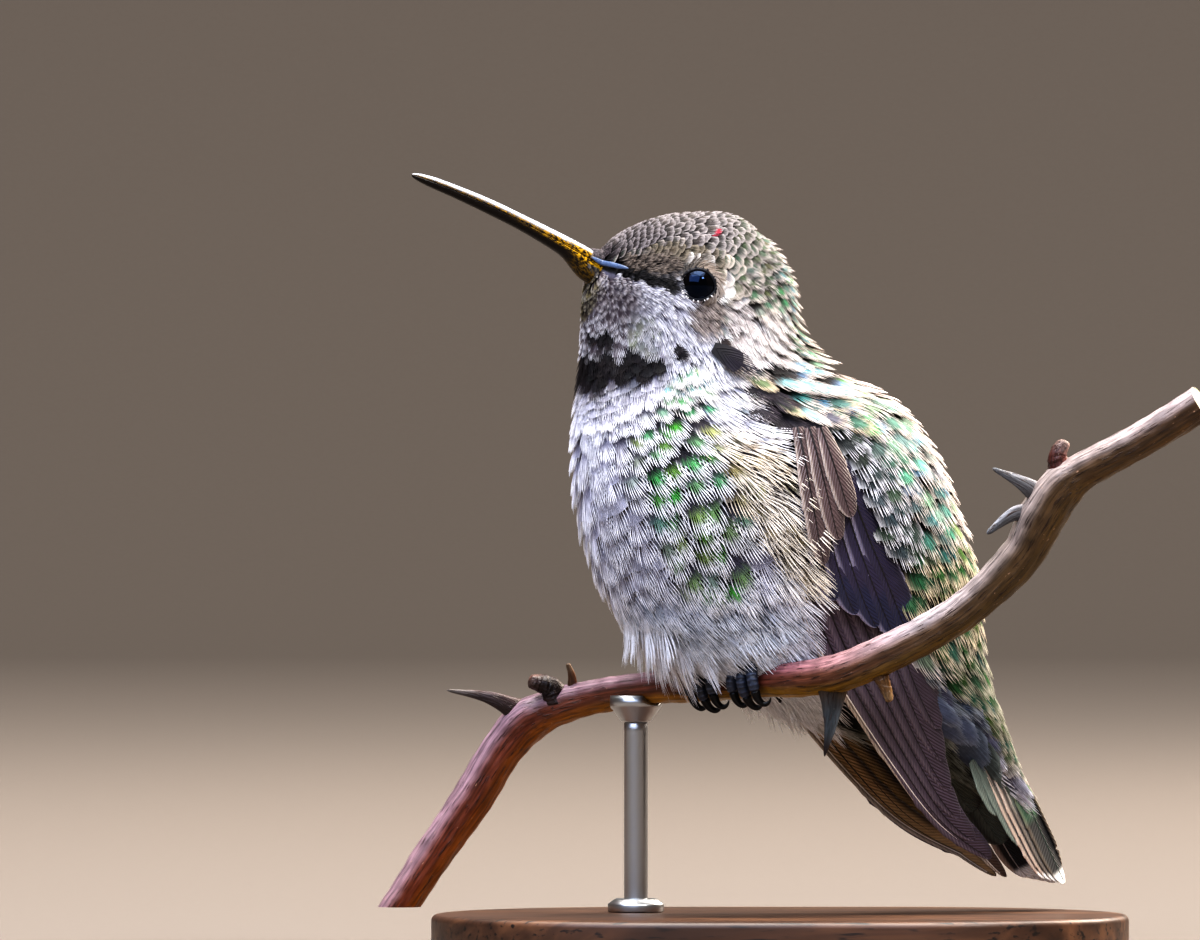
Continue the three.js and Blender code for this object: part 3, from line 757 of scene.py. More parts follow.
@dataclass(frozen=True)
class BrushedSteel(Finish):
    """Stainless steel, turned and brushed: fine rings round the rod break up its reflections."""

    def dress(self, tree: Tree) -> tuple[dict, dict]:
        """Rings 0.12 mm apart, the coarsest that brushing leaves, so that they show.

        Args:
            tree: the material's node tree.

        Returns:
            The shader's values, and what feeds its linked sockets.
        """
        place = add_node(tree, "TexCoord").outputs["Object"]
        rings = add_node(tree, "Mapping", {"Scale": (0.05, 0.05, 1.0)}, {"Vector": place})
        brush = add_node(tree, "TexNoise", {"Scale": per_mm(0.12), "Detail": 2.0}, {"Vector": rings})
        return {"Base Color": rgba("b9bbbd"), "Metallic": 1.0}, {
            "Roughness": add_node(tree, "MapRange", {"To Min": 0.24, "To Max": 0.46}, {"Value": brush}),
            "Normal": add_node(tree, "Bump", {"Strength": 0.2, "Distance": 0.01 * MM}, {"Height": brush}),
        }


@dataclass(frozen=True)
class StudioPaper(Finish):
    """A roll of matt background paper: pale warm grey with the faintest tooth.

    Args:
        colour: the paper's colour.
    """

    colour: str = "67605a"

    def dress(self, tree: Tree) -> tuple[dict, dict]:
        """Nearly even colour, so that nothing draws the eye.

        Args:
            tree: the material's node tree.

        Returns:
            The shader's values, and what feeds its linked sockets.
        """
        place = add_node(tree, "TexCoord").outputs["Object"]
        tooth = add_node(tree, "TexNoise", {"Scale": per_mm(1.5), "Detail": 3.0}, {"Vector": place})
        level = add_node(tree, "MapRange", {"To Min": 0.97, "To Max": 1.03}, {"Value": tooth})
        base = add_node(tree, "VectorMath", {"operation": "SCALE", 0: tuple(linear(self.colour))},
                        {"Scale": level})
        return {"Roughness": 0.95, "Specular IOR Level": 0.2}, {"Base Color": base}


# ---- The bird's form -----------------------------------------------------------------------------


@dataclass
class BirdForm:
    """The bird's outline as sections from the front line (0 is the bill's base, 16 the tail coverts).

    A place on it is a station and an angle in degrees round the section, from the back line (0) by the
    left side (90) to the front line (180). Its own frame has x forward, y left and z up.

    Args:
        turn: how far the breast is turned towards the front of the stand.
        shift: where the bird's frame stands along the stand.
        stations: front x and z, back x and z, half width, and the share of the height at which it is widest.
        snout: the section one station before the first, where the feathers end on the bill.
        chin: the share by which the throat narrows to its front, and the stations over which that ends.
        coat: how deep the coat is over the skin: station, on the back, on the front.
    """

    turn: float = 20.0
    shift: float = -3.0
    stations: tuple = (
        (15.6, 62.0, 14.1, 65.1, 1.4, 0.5), (16.0, 60.4, 12.8, 66.2, 3.1, 0.5),
        (16.1, 58.5, 10.1, 67.6, 5.0, 0.52), (16.2, 56.2, 6.0, 68.5, 6.6, 0.52),
        (16.4, 53.6, 0.7, 68.0, 7.4, 0.5), (16.7, 50.6, -3.6, 63.3, 7.8, 0.5),
        (16.9, 47.5, -5.2, 57.4, 8.9, 0.5), (16.8, 44.1, -9.2, 54.0, 10.8, 0.5),
        (16.3, 40.5, -14.2, 51.3, 12.4, 0.5), (15.2, 36.6, -18.0, 46.8, 13.0, 0.5),
        (13.4, 32.7, -20.2, 41.6, 12.7, 0.5), (10.6, 29.2, -21.9, 36.8, 11.7, 0.5),
        (6.2, 26.4, -22.7, 32.6, 10.2, 0.5), (-0.8, 23.4, -23.1, 28.8, 8.5, 0.5),
        (-6.8, 21.2, -23.8, 25.4, 6.8, 0.55), (-15.4, 19.2, -24.9, 22.0, 5.0, 0.6),
        (-22.2, 15.6, -26.2, 18.6, 3.3, 0.6),
    )
    snout: tuple = (17.0, 63.2, 15.9, 65.25, 1.05, 0.5)
    chin: tuple = (0.4, 3.0, 5.5)
    coat: tuple = ((0, 0.3, 0.3), (1.5, 0.5, 0.5), (4, 0.8, 0.8), (6, 1.2, 1.4), (8, 1.8, 2.0),
                   (11, 1.8, 2.4), (13, 1.5, 2.0), (16, 0.9, 0.9))

    def __post_init__(self) -> None:
        """Keeps the stations as an array."""
        self.table = np.array(self.stations)
        self.last = len(self.table) - 1

    def to_stand(self, points: Array) -> Array:
        """Moves points from the bird's frame into the stand's."""
        return self.turn_only(points) + np.array([self.shift, 0, 0])

    def turn_only(self, points: Array) -> Array:
        """Turns directions from the bird's frame into the stand's.

        Args:
            points: the directions, or points about the bird's own middle.

        Returns:
            The turned ones.
        """
        c, s = math.cos(math.pi + math.radians(self.turn)), math.sin(math.pi + math.radians(self.turn))
        x, y, z = points[..., 0], points[..., 1], points[..., 2]
        return np.stack([c * x - s * y, s * x + c * y, z], -1)

    def point(self, station: Array, angle: Array) -> Array:
        """Points of the outline in the bird's frame.

        Args:
            station: section numbers, which may run past the ends.
            angle: degrees round the section.

        Returns:
            One point for each place.
        """
        inside = np.clip(station, 0, self.last)
        row = through(self.table, inside)
        over = (station - inside)[..., None]
        row = row + np.maximum(over, 0) * (self.table[-1] - self.table[-2]) * np.array([1, 1, 1, 1, 0.6, 0])
        row = row - np.minimum(over, 0) * (np.array(self.snout) - self.table[0])
        height = np.cos(np.radians(angle))
        level = row[..., 5] + height * np.where(height > 0, 1 - row[..., 5], row[..., 5])
        x = mix(row[..., 0], row[..., 2], level)
        z = mix(row[..., 1], row[..., 3], level)
        pinch = self.chin[0] * smooth(-height, 0.1, 1) * (1 - smooth(station, *self.chin[1:]))
        return np.stack([x, row[..., 4] * (1 - pinch) * np.sin(np.radians(angle)), z], -1)

    def side_place(self, x: float, z: float) -> tuple[float, float]:
        """The place on the left side that shows at a given x and z from the side.

        Args:
            x: forward from the bird's middle.
            z: up from the stand's foot.

        Returns:
            The station and the angle.
        """
        station, angle = np.meshgrid(np.linspace(-1, 16, 681), np.linspace(20, 160, 281), indexing="ij")
        spots = self.point(station, angle)
        nearest = np.argmin(np.hypot(spots[..., 0] - x, spots[..., 2] - z))
        return float(station.flat[nearest]), float(angle.flat[nearest])

    def steps(self, station: Array, angle: Array) -> tuple[Array, Array, Array]:
        """How the outline runs at a place.

        Args:
            station: section numbers.
            angle: degrees round the section.

        Returns:
            Millimetres per station, millimetres per degree, and the outward direction.
        """
        along = (self.point(station + 0.02, angle) - self.point(station - 0.02, angle)) / 0.04
        around = (self.point(station, angle + 0.5) - self.point(station, angle - 0.5))
        outward = unit(np.cross(around, along))
        back, front = (self.point(station, np.full_like(angle, turn)) for turn in (0.0, 180.0))
        flip = np.where(dot(outward, self.point(station, angle) - (back + front) / 2) < 0, -1, 1)
        return along, around, outward * flip

    def depth(self, station: Array, angle: Array) -> Array:
        """How deep the coat is at a place.

        Args:
            station: section numbers.
            angle: degrees round the section.

        Returns:
            Its depth over the skin.
        """
        table = np.array(self.coat)
        back = np.interp(station, table[:, 0], table[:, 1])
        front = np.interp(station, table[:, 0], table[:, 2])
        return mix(back, front, (1 - np.cos(np.radians(angle))) / 2)


@dataclass
class WingForm:
    """The folded wing's surface on the bird's left side.

    Args:
        leading: points of its leading edge, from the wrist to the tip.
        trailing: points of its trailing edge, likewise.
    """

    leading: tuple = (
        (1.9, 10.8, 52.1), (1.5, 12.8, 46.5), (0.9, 13.6, 40.6), (-0.1, 13.0, 34.6), (-1.9, 11.7, 30.0),
        (-5.9, 10.0, 24.3), (-11.5, 8.0, 17.2), (-16.1, 6.0, 12.3), (-20.9, 3.8, 9.2), (-25.0, 1.4, 7.1),
    )
    trailing: tuple = (
        (-3.4, 10.5, 51.0), (-5.9, 11.5, 45.6), (-8.9, 11.0, 39.4), (-11.8, 10.0, 34.0), (-14.2, 8.6, 29.2),
        (-16.4, 7.3, 24.6), (-18.7, 6.1, 19.8), (-20.8, 4.9, 15.4), (-23.2, 3.2, 11.4), (-25.3, 1.5, 7.5),
    )

    def __post_init__(self) -> None:
        """Lays the two edges as lines."""
        self.lead = Line(np.array(self.leading))
        self.trail = Line(np.array(self.trailing))

    def spot(self, along: Array, across: Array, inset: float, lift: Array) -> tuple[Array, Array]:
        """Points on the wing and its outward direction.

        Args:
            along: from the wrist (0) to the tip (1).
            across: from the leading edge (0) to the trailing edge (1).
            inset: how far to keep from both edges.
            lift: how far out of the wing.

        Returns:
            Points and outward unit vectors, in the bird's frame.
        """
        lead, trail = self.lead.at(along), self.trail.at(along)
        span = trail - lead
        width = np.linalg.norm(span, axis=-1, keepdims=True)
        outward = unit(np.cross(span, self.lead.heading(along)))
        outward = outward * np.where(outward[..., 1:2] < 0, -1, 1)
        taper = np.minimum(1, 1.12 - np.asarray(along))[..., None]
        margin = np.minimum(inset, width / 2)
        share = mix(margin, width - margin, np.asarray(across)[..., None]) / width
        return lead + span * share + outward * np.asarray(lift)[..., None] * taper, outward

    def cover(self, points: Array) -> Array:
        """How much a place on the body lies under the wing.

        Args:
            points: places in the bird's frame.

        Returns:
            Below 0 in front of the leading edge, above 1 behind the trailing edge, and -9 above the wrist.
        """
        share = np.linspace(0, 1, 60)
        lead, trail = self.lead.at(share)[::-1], self.trail.at(share)[::-1]
        height = points[..., 2]
        front = np.interp(height, lead[:, 2], lead[:, 0])
        back = np.interp(height, trail[:, 2], trail[:, 0])
        across = (front - points[..., 0]) / np.maximum(front - back, 0.5)
        return np.where(height > lead[-1, 2] + 0.5, -9.0, across)


# ---- Markings ------------------------------------------------------------------------------------


@dataclass(frozen=True)
class Patch:
    """A soft-edged region of the plumage.

    Args:
        station: its middle, along the bird.
        angle: its middle, in degrees round from the back line, alike on both sides.
        reach: how many stations and degrees it reaches each way.
        fringe: the colour of the feathers' edges.
        disc: the colour of their middles.
        base: the colour near their roots.
        gloss: how far the discs shine.
        cover: how much of what lies under it the region hides.
        scatter: how far that cover differs from feather to feather.
    """

    station: float
    angle: float
    reach: tuple[float, float]
    fringe: str
    disc: str
    base: str
    gloss: float = 0.0
    cover: float = 1.0
    scatter: float = 0.0


@dataclass
class Look:
    """The colours of many feathers.

    Args:
        fringe: linear colours of their edges.
        disc: linear colours of their middles.
        base: linear colours near their roots.
        gloss: how far the discs shine.
    """

    fringe: Array
    disc: Array
    base: Array
    gloss: Array


@dataclass
class Markings:
    """The bird's markings, which skin and feathers share.

    Args:
        patches: the regions of the plumage, each laid over those before it.
    """

    patches: tuple[Patch, ...] = (
        # the whole bird: pale front, brown and green back
        Patch(8, 180, (30, 400), "f6f5fb", "b4b2bd", "6c6878"),
        Patch(9, 0, (30, 84), "e6d9cb", "5a6f61", "1c110c", 0.3),
        # head: over the bill, forehead, crown, nape
        Patch(0.2, 0, (1.9, 80), "695f62", "2a2327", "141012"),
        Patch(1.9, 0, (1.5, 76), "958d8f", "352e2d", "181315"),
        Patch(3.3, 0, (1.2, 70), "a29a9a", "393230", "1a1513", 0.1),
        Patch(4.6, 10, (0.9, 56), "aaa2a0", "4a5540", "1c1712", 0.35, 0.95, 0.6),
        Patch(5.5, 12, (0.7, 46), "bfb3ac", "4f776c", "1c1815", 0.45, 0.9, 0.5),
        # face: brow, cheek, lores and gape, the white spot behind the eye
        Patch(3.1, 66, (1.1, 8), "857a6b", "383020", "18120c", 0.1),
        Patch(3.65, 70, (0.45, 5), "cbc6c2", "8d847c", "302924"),
        Patch(2.2, 80, (1.4, 12), "80746b", "3a312b", "1c1714"),
        Patch(4.66, 86, (0.4, 9), "b8a99f", "78685f", "4a3d36", 0.0, 0.85),
        Patch(5.3, 70, (0.7, 9), "e8e1de", "bdb2af", "6d6260"),
        Patch(0.4, 88, (1.4, 7), "1a1719", "0c0a0c", "060506"),
        Patch(1.9, 93, (0.9, 4.6), "1a1719", "0c0a0c", "060506"),
        Patch(2.8, 94, (0.5, 4.8), "1c181b", "0c0a0c", "060506"),
        Patch(3.35, 91, (0.42, 4.4), "1b1719", "0d0b0d", "060506"),
        Patch(3.95, 82, (0.36, 8), "1b1819", "100e10", "080708"),
        Patch(4.38, 75, (0.17, 8), "fffdfa", "f1ece9", "c9c2bf"),
        # throat: pale scales with dark middles, a yellow-brown chin, the dark gorget and its spots
        Patch(2.6, 180, (2.7, 74), "f0eef4", "3e3136", "8a8086", 0.0, 0.98),
        Patch(1.9, 121, (1.5, 22), "c4bcbe", "40343a", "574b50", 0.0, 0.9, 0.5),
        Patch(0.5, 180, (1.7, 66), "83795c", "30251a", "1b140e", 0.0, 0.96, 0.35),
        Patch(-0.3, 150, (0.9, 60), "6b5f48", "261e14", "15110c", 0.0, 0.95, 0.3),
        Patch(4.1, 120, (0.6, 10), "e3e2e5", "7b8266", "6a6a60", 0.1, 0.7, 0.8),
        Patch(3.98, 180, (0.55, 26), "251d20", "1a1416", "0e0b0c", 0.2),
        Patch(4.28, 158, (0.6, 20), "251d20", "1a1416", "0e0b0c", 0.2),
        Patch(4.72, 133, (0.45, 13), "251d20", "1a1416", "0e0b0c", 0.2),
        Patch(5.05, 120, (0.34, 9), "251d20", "1a1416", "0e0b0c", 0.2),
        Patch(3.1, 157, (0.3, 9), "2a2225", "1a1416", "0e0b0c"),
        Patch(3.45, 143, (0.4, 9), "2a2225", "1a1416", "0e0b0c"),
        # side of the neck, and the dark slit over the shoulder
        Patch(5.8, 56, (0.6, 16), "eee8e4", "c6bbb6", "6d6262"),
        Patch(6.25, 62, (0.26, 8), "3b3432", "171314", "0c0a0b"),
        # breast and belly: white front, green discs, dusky spots, buff flanks
        Patch(7.2, 180, (2.4, 32), "f5f5fc", "dcdbe7", "adabbf"),
        Patch(8.0, 119, (1.9, 22), "f1f1f5", "558c48", "16121c", 0.6, 1.0, 0.5),
        Patch(6.1, 104, (0.7, 14), "efebe6", "5a9470", "2f2a32", 0.6, 0.9, 0.4),
        Patch(9.9, 126, (0.9, 16), "f0eef0", "628a40", "1a1622", 0.6, 0.9, 0.5),
        Patch(9.4, 156, (1.6, 18), "f8f7fd", "8a868e", "c4c2ce", 0.0, 0.9, 0.9),
        Patch(9.0, 98, (2.1, 12), "e9dcc8", "9c8f6d", "33292a", 0.1, 0.9, 0.3),
        Patch(11.7, 170, (1.1, 74), "f2f7ff", "cfd8e6", "9aa2b2", 0.0, 0.9),
        # vent and under the tail
        Patch(14.6, 180, (1.9, 66), "d0d2cf", "8b928b", "5b5c5d", 0.0, 0.95),
        # back, shoulders and rump
        Patch(7.4, 0, (1.4, 24), "ecdace", "7f756b", "20140e", 0.1, 0.8),
        Patch(7.1, 40, (0.9, 22), "e6dad0", "79a7a7", "17110e", 0.5, 0.9, 0.6),
        Patch(9.3, 34, (1.7, 34), "ece0d8", "84a89c", "1e120b", 0.5, 0.95, 0.8),
        Patch(9.0, 6, (2.4, 22), "eee0d8", "9c887c", "2a180e", 0.1, 0.85, 0.5),
        Patch(9.6, 66, (1.9, 12), "f2f2fa", "30383a", "08070c", 0.2, 0.9, 0.5),
        Patch(11.9, 44, (1.4, 46), "e2d1b2", "4c7550", "1c120a", 0.55, 0.95, 0.7),
        Patch(14.6, 30, (1.7, 60), "b4b09c", "3a6046", "14170f", 0.6, 0.95, 0.4),
        Patch(13.1, 180, (0.9, 54), "f8fbff", "e6eef2", "c3cdd2"),
        Patch(14.4, 92, (1.3, 22), "8b95a6", "4c5664", "17191f", 0.2, 0.85),
        Patch(15.4, 180, (1.1, 70), "8d978c", "474f47", "1b1c1a", 0.0, 0.9),
    )

    def look(self, station: Array, angle: Array, random: Array) -> Look:
        """The colours of feathers.

        Args:
            station: where each feather's tip lies along the bird.
            angle: where it lies round the section.
            random: one value from 0 to 1 for each feather.

        Returns:
            Their look.
        """
        shape = np.shape(station)
        made = Look(*(np.zeros((*shape, 3)) for _ in range(3)), np.zeros(shape))
        turn = np.abs((np.asarray(angle) + 180) % 360 - 180)
        for patch in self.patches:
            off = np.hypot((station - patch.station) / patch.reach[0], (turn - patch.angle) / patch.reach[1])
            share = smooth(off, 1.12, 0.8) * np.clip(patch.cover - patch.scatter * (random - 0.35), 0, 1)
            for part in ("fringe", "disc", "base"):
                colour = getattr(made, part)
                setattr(made, part, mix(colour, linear(getattr(patch, part)), share[..., None]))
            made.gloss = mix(made.gloss, patch.gloss, share)
        return made


# ---- Feathers of the coat ------------------------------------------------------------------------


@dataclass
class Tract:
    """A stretch of the coat: rows of feathers in quincunx, each a camber of vane with loose barbs.

    Args:
        name: the piece's name.
        slot: the material slot.
        stations: where its rows start and end.
        angles: the degrees round the section that a row takes.
        sizes: station, millimetres between rows, between feathers in a row, length, half width.
        under: the share across the wing between which feathers are left out.
        disc: the shares of the length between which the feather's own colour shows; pale fringes lie beyond.
        gap: how far the markings show on the vane under the barbs; elsewhere the vane takes the feather's
            base colour, dimmed as painted shade between the barbs.
        barbs: how many barbs a feather has.
        loose: the share of the length beyond which the barbs part.
        slant: degrees that the feathers lean from the body's line towards the back.
        lift: how far the tips stand off the outline.
        fray: how far the barbs stray.
        barb: half width of a barb in millimetres.
        points: how many points a barb has along it.
        seed: where the irregularities start.
    """

    name: str
    slot: str = ""
    stations: tuple[float, float] = (0, 1)
    angles: tuple[float, float] = (-180, 180)
    sizes: tuple[tuple[float, float, float, float, float], ...] = ()
    barbs: int = 16
    loose: float = 0.7
    slant: float = 0.0
    lift: float = 0.0
    fray: float = 0.35
    barb: float = 0.07
    points: int = 5
    under: tuple[float, float] = (0.12, 0.92)
    disc: tuple[float, float] = (0.6, 0.8)
    gap: float = 0.35
    seed: int = 1

    def size(self, station: Array) -> list[Array]:
        """How large the feathers are.

        Args:
            station: places along the bird.

        Returns:
            The step between rows, the pitch in a row, the length and the half width.
        """
        table = np.array(self.sizes)
        return [np.interp(station, table[:, 0], table[:, column]) for column in range(1, 5)]

    def roots(self, form: BirdForm, rng: np.random.Generator) -> tuple[Array, Array]:
        """Where the feathers grow.

        Args:
            form: the bird's form.
            rng: the source of the small irregularities.

        Returns:
            The stations and the angles of the roots.
        """
        stations, angles = [], []
        station, row = self.stations[0], 0
        span = np.linspace(*self.angles, 91)
        while station < self.stations[1]:
            step, pitch, _, _ = self.size(station)
            arc = form.point(np.full_like(span, station), span)
            walked = np.concatenate([[0], np.cumsum(np.linalg.norm(np.diff(arc, axis=0), axis=1))])
            count = max(2, round(walked[-1] / pitch))
            places = (np.arange(count) + (0.25 if row % 2 else 0.75)) / count * walked[-1]
            places = places + rng.uniform(-0.16, 0.16, count) * pitch
            angles.append(np.interp(places, walked, span))
            along, _, _ = form.steps(np.full(1, station), np.full(1, sum(self.angles) / 2))
            per_station = float(np.linalg.norm(along))
            stations.append(station + rng.uniform(-0.16, 0.16, count) * step / per_station)
            station += step / per_station
            row += 1
        return np.concatenate(stations), np.concatenate(angles)

    def grow(self, form: BirdForm, wing: WingForm, markings: Markings) -> bpy.types.Object:
        """Grows the tract's feathers and joins them into one piece.

        Args:
            form: the bird's form.
            wing: the folded wing, under which hardly any feathers grow.
            markings: what colours the feathers.

        Returns:
            The piece.
        """
        rng = np.random.default_rng(self.seed)
        station, angle = self.roots(form, rng)
        _, _, length, half = self.size(station)
        length = length * rng.uniform(0.9, 1.12, len(station))
        half = half * rng.uniform(0.92, 1.1, len(station))
        lean = self.slant + rng.normal(0, 5, len(station))
        flow, outward = self.lie(form, station, angle, lean)
        tips = np.stack([station, angle], -1) + flow[:, 0] * length[:, None]
        cover = wing.cover(form.point(tips[:, 0], tips[:, 1]))
        cover = np.where(np.abs(np.sin(np.radians(angle))) < MIDLINE, -9, cover)
        keep = (cover < self.under[0]) | (cover > self.under[1])
        bed = Bed(form, self, station[keep], angle[keep], length[keep], half[keep], flow[keep],
                  outward[keep], rng)
        look = markings.look(tips[keep, 0] - 0.15, tips[keep, 1], rng.uniform(0, 1, keep.sum()))
        look.fringe = look.fringe * rng.uniform(0.9, 1.06, (keep.sum(), 1))
        look.disc = look.disc * rng.uniform(0.75, 1.25, (keep.sum(), 1))
        drift = rng.uniform(-0.55, 0.55, (keep.sum(), 3)) * np.array([1.0, 0.4, 1.3])
        look.disc = look.disc * (1 + drift * np.minimum(1, 1.6 * look.gloss)[:, None])
        return bed.piece(self.name, self.slot, look)

    @classmethod
    def lie(cls, form: BirdForm, station: Array, angle: Array, lean: Array) -> tuple[Array, Array]:
        """How feathers lie on the form.

        Args:
            form: the bird's form.
            station: where each feather's root is along the bird.
            angle: where it is round the section.
            lean: degrees that each one leans from the body's line towards the back.

        Returns:
            The stations and degrees for each millimetre along and beside the feather, and the outward
            direction in the stand's frame.
        """
        lean = np.radians(lean) * np.sign(np.sin(np.radians(angle)) + 1e-9)
        along, around, outward = form.steps(station, angle)
        forward = unit(along)
        sideways = np.cross(outward, forward)
        sideways = sideways * np.where(dot(sideways, around) < 0, -1, 1)
        way = forward * np.cos(lean)[:, None] - sideways * np.sin(lean)[:, None]
        side = forward * np.sin(lean)[:, None] + sideways * np.cos(lean)[:, None]
        flow = np.stack([cls.per_unit(along, around, way), cls.per_unit(along, around, side)], 1)
        return flow, form.turn_only(outward)

    @staticmethod
    def per_unit(along: Array, around: Array, way: Array) -> Array:
        """How station and angle change for each millimetre in a direction along the surface.

        Args:
            along: the step for one station.
            around: the step for one degree.
            way: the direction, as unit vectors.

        Returns:
            Stations and degrees for each millimetre.
        """
        a, b, c = dot(along, along), dot(along, around), dot(around, around)
        d, e = dot(along, way), dot(around, way)
        bottom = a * c - b * b
        return np.concatenate([(c * d - b * e) / bottom, (a * e - b * d) / bottom], -1)


@dataclass
class Bed:
    """The feathers of one tract, ready to be meshed.

    Args:
        form: the bird's form.
        tract: how the barbs are.
        station: where each feather's root is along the bird.
        angle: where it is round the section.
        length: each feather's length.
        half: its half width.
        flow: the stations and degrees for each millimetre along and beside it.
        outward: the outward direction in the stand's frame.
        rng: the source of the small irregularities.
    """

    form: BirdForm
    tract: Tract
    station: Array
    angle: Array
    length: Array
    half: Array
    flow: Array
    outward: Array
    rng: np.random.Generator

    def __post_init__(self) -> None:
        """Draws each feather's own irregularities."""
        count = len(self.station)
        self.roll = self.rng.normal(0.05, 0.05, count) * self.half
        self.proud = self.rng.uniform(-0.06, 0.06, count) * self.length / 6
        self.root_depth = self.form.depth(self.station, self.angle) * 0.92
        origin, end = np.array([self.tract.stations, self.tract.angles]).T
        places = np.stack([self.station, self.angle], -1)
        self.patch = 0.02 + 0.95 * (places - origin) / (end - origin + (1, 0))

    @staticmethod
    def fit(u: Array) -> tuple:
        """The index that spreads one value a feather over an array with the feathers first."""
        return (slice(None), *([None] * (u.ndim - 1)))

    def piece(self, name: str, slot: str, look: Look) -> bpy.types.Object:
        """Makes one piece of all the feathers.

        Args:
            name: the piece's name.
            slot: the material slot.
            look: the feathers' colours.

        Returns:
            The piece.
        """
        draft = Draft()
        self.vanes(draft, look)
        self.strands(draft, look)
        return draft.piece(name, ContourFeather("feather_barbs_preened"), slot)

    def place(self, u: Array, v: Array, raised: Array | float = 0.0) -> Array:
        """Points of the feathers in the stand's frame.

        Args:
            u: shares of the length, feathers first.
            v: shares of the half width, feathers first.
            raised: millimetres above the feather.

        Returns:
            One point for each u and v.
        """
        fit = self.fit(u)
        run, side = u * self.length[fit], v * self.half[fit]
        station = self.station[fit] + run * self.flow[:, 0, 0][fit] + side * self.flow[:, 1, 0][fit]
        angle = self.angle[fit] + run * self.flow[:, 0, 1][fit] + side * self.flow[:, 1, 1][fit]
        spot = self.form.to_stand(self.form.point(station, angle))
        sunk = self.root_depth[fit] * np.clip(1 - u, 0, None) ** 1.2 + 0.10 * v * v * self.half[fit]
        height = (self.proud[fit] + self.roll[fit] * v * (1 - 0.3 * u) - sunk
                  + self.tract.lift * u ** 3 + raised)
        return spot + self.outward[fit] * height[..., None]

    def colours(self, u: Array, v: Array, look: Look, shown: float) -> tuple[Array, Array]:
        """Tints and gloss over the feathers.

        Args:
            u: shares of the length, feathers first.
            v: shares of the half width, likewise.
            look: the feathers' colours.
            shown: how far the markings show, against the colour of the feather's down dimmed by a fifth,
                which is painted shade between the barbs.

        Returns:
            Linear tints and the gloss marks.
        """
        fit = self.fit(u)
        start, end = self.tract.disc
        edge = np.hypot(np.clip((u - start) / (1 - start), 0, None), 0.78 * v)
        level = (end - start) / (1 - start)
        fringe = smooth(edge, level - 0.1, level + 0.12) * smooth(u, start - 0.14, start + 0.02)
        disc = smooth(u, start - 0.06, start + 0.06) * (1 - fringe)
        tint = mix(look.base[fit], look.disc[fit], disc[..., None])
        tint = mix(tint, look.fringe[fit], fringe[..., None])
        # where the markings don't show, the base colour at four fifths: partly the feather's root colour,
        # partly painted shade in the gaps between the barbs
        return mix(look.base[fit] * 0.8, tint, shown), look.gloss[fit] * disc

    def vanes(self, draft: Draft, look: Look) -> None:
        """Adds the closed part of each feather, as a cambered sheet with a rounded end.

        Args:
            draft: the piece.
            look: the feathers' colours.
        """
        rows, columns = 5, 5
        u, v = np.meshgrid(np.linspace(0.05, self.tract.loose, rows), np.linspace(-1, 1, columns),
                           indexing="ij")
        u = u + 0.08 * (1 - v * v) * (u / self.tract.loose) ** 2
        v = v * (0.35 + 0.6 * np.sin(math.pi / 2 * np.minimum(1, u * 1.7)))
        shape = (len(self.station), rows * columns)
        u, v = np.broadcast_to(u.ravel(), shape), np.broadcast_to(v.ravel(), shape)
        tint, gloss = self.colours(u, v, look, self.tract.gap)
        patch = self.patch[:, None] + PATCH * np.stack([0.5 * v, u], -1)
        draft.add(self.place(u, v), grid_faces(rows, columns), tint, patch, gloss=gloss * 0.6)

    def strands(self, draft: Draft, look: Look) -> None:
        """Adds the barbs: ridged ribbons that leave the shaft, run along the feather and part at its edge.

        Args:
            draft: the piece.
            look: the feathers' colours.
        """
        tract, count, steps = self.tract, self.tract.barbs, self.tract.points
        side = np.linspace(-1, 1, count)
        t = np.linspace(0, 1, steps)
        shape = (len(self.station), count, steps)
        stray = self.rng.normal(0, 1, (*shape[:2], 3))
        gap = side[None, :, None] + stray[..., 0:1] * tract.fray / count
        leave = 0.1 + 0.55 * (1 - np.abs(side))[None, :, None] ** 0.8
        reach = 1.0 - 0.26 * np.abs(gap) ** 2.4 + 0.035 * stray[..., 1:2] * (0.4 + tract.fray)
        u = leave + (reach - leave) * t
        v = gap * (1 - (1 - t) ** 1.8) * (0.92 + 0.1 * t)
        height = 0.03 + 0.05 * (stray[..., 2:3] * tract.fray) * t ** 2 * self.length[:, None, None] / 3
        centre = self.place(u, v, height)
        way = unit(np.gradient(centre, axis=2))
        outward = np.broadcast_to(self.outward[:, None, None], centre.shape)
        beside = unit(np.cross(way, outward))
        width = tract.barb * np.interp(t, (0, 0.15, 0.75, 1), (0.7, 1, 0.9, 0.25))[:, None]
        ribbon = np.stack([centre - beside * width, centre + outward * width * 0.8, centre + beside * width],
                          3)
        tint, gloss = self.colours(u, v, look, 1.0)
        tint = tint * (1 + 0.1 * stray[..., 2:3])[..., None]
        # painted shade: each barb's two sides are tinted darker than its raised middle
        shade = np.array([0.66, 1.0, 0.76])
        tint = (tint[..., None, :] * shade[:, None]).reshape(-1, steps * 3, 3)
        gloss = np.repeat(gloss[..., None], 3, -1).reshape(-1, steps * 3)
        u3 = np.repeat(u[..., None], 3, -1)
        v3 = np.clip(0.5 * v, -0.4, 0.4)[..., None] + np.array([-0.09, 0.0, 0.09])
        patch = (self.patch[:, None, None, None] + PATCH * np.stack([v3, u3], -1)).reshape(-1, steps * 3, 2)
        draft.add(ribbon.reshape(-1, steps * 3, 3), grid_faces(steps, 3), tint, patch, gloss=gloss)


@dataclass(frozen=True)
class Accent:
    """One feather that stands out, alike on both sides.

    Args:
        station: where its tip is along the bird.
        angle: where its tip is round the section, in degrees.
        length: its length.
        half: its half width.
        slant: degrees that it leans from the body's line towards the back.
        lift: how far it stands above the other feathers.
        look: the colours of its fringe, disc and base.
        gloss: how far its disc shines.
    """

    station: float
    angle: float
    length: float
    half: float
    slant: float
    lift: float
    look: tuple[str, str, str]
    gloss: float = 0.0


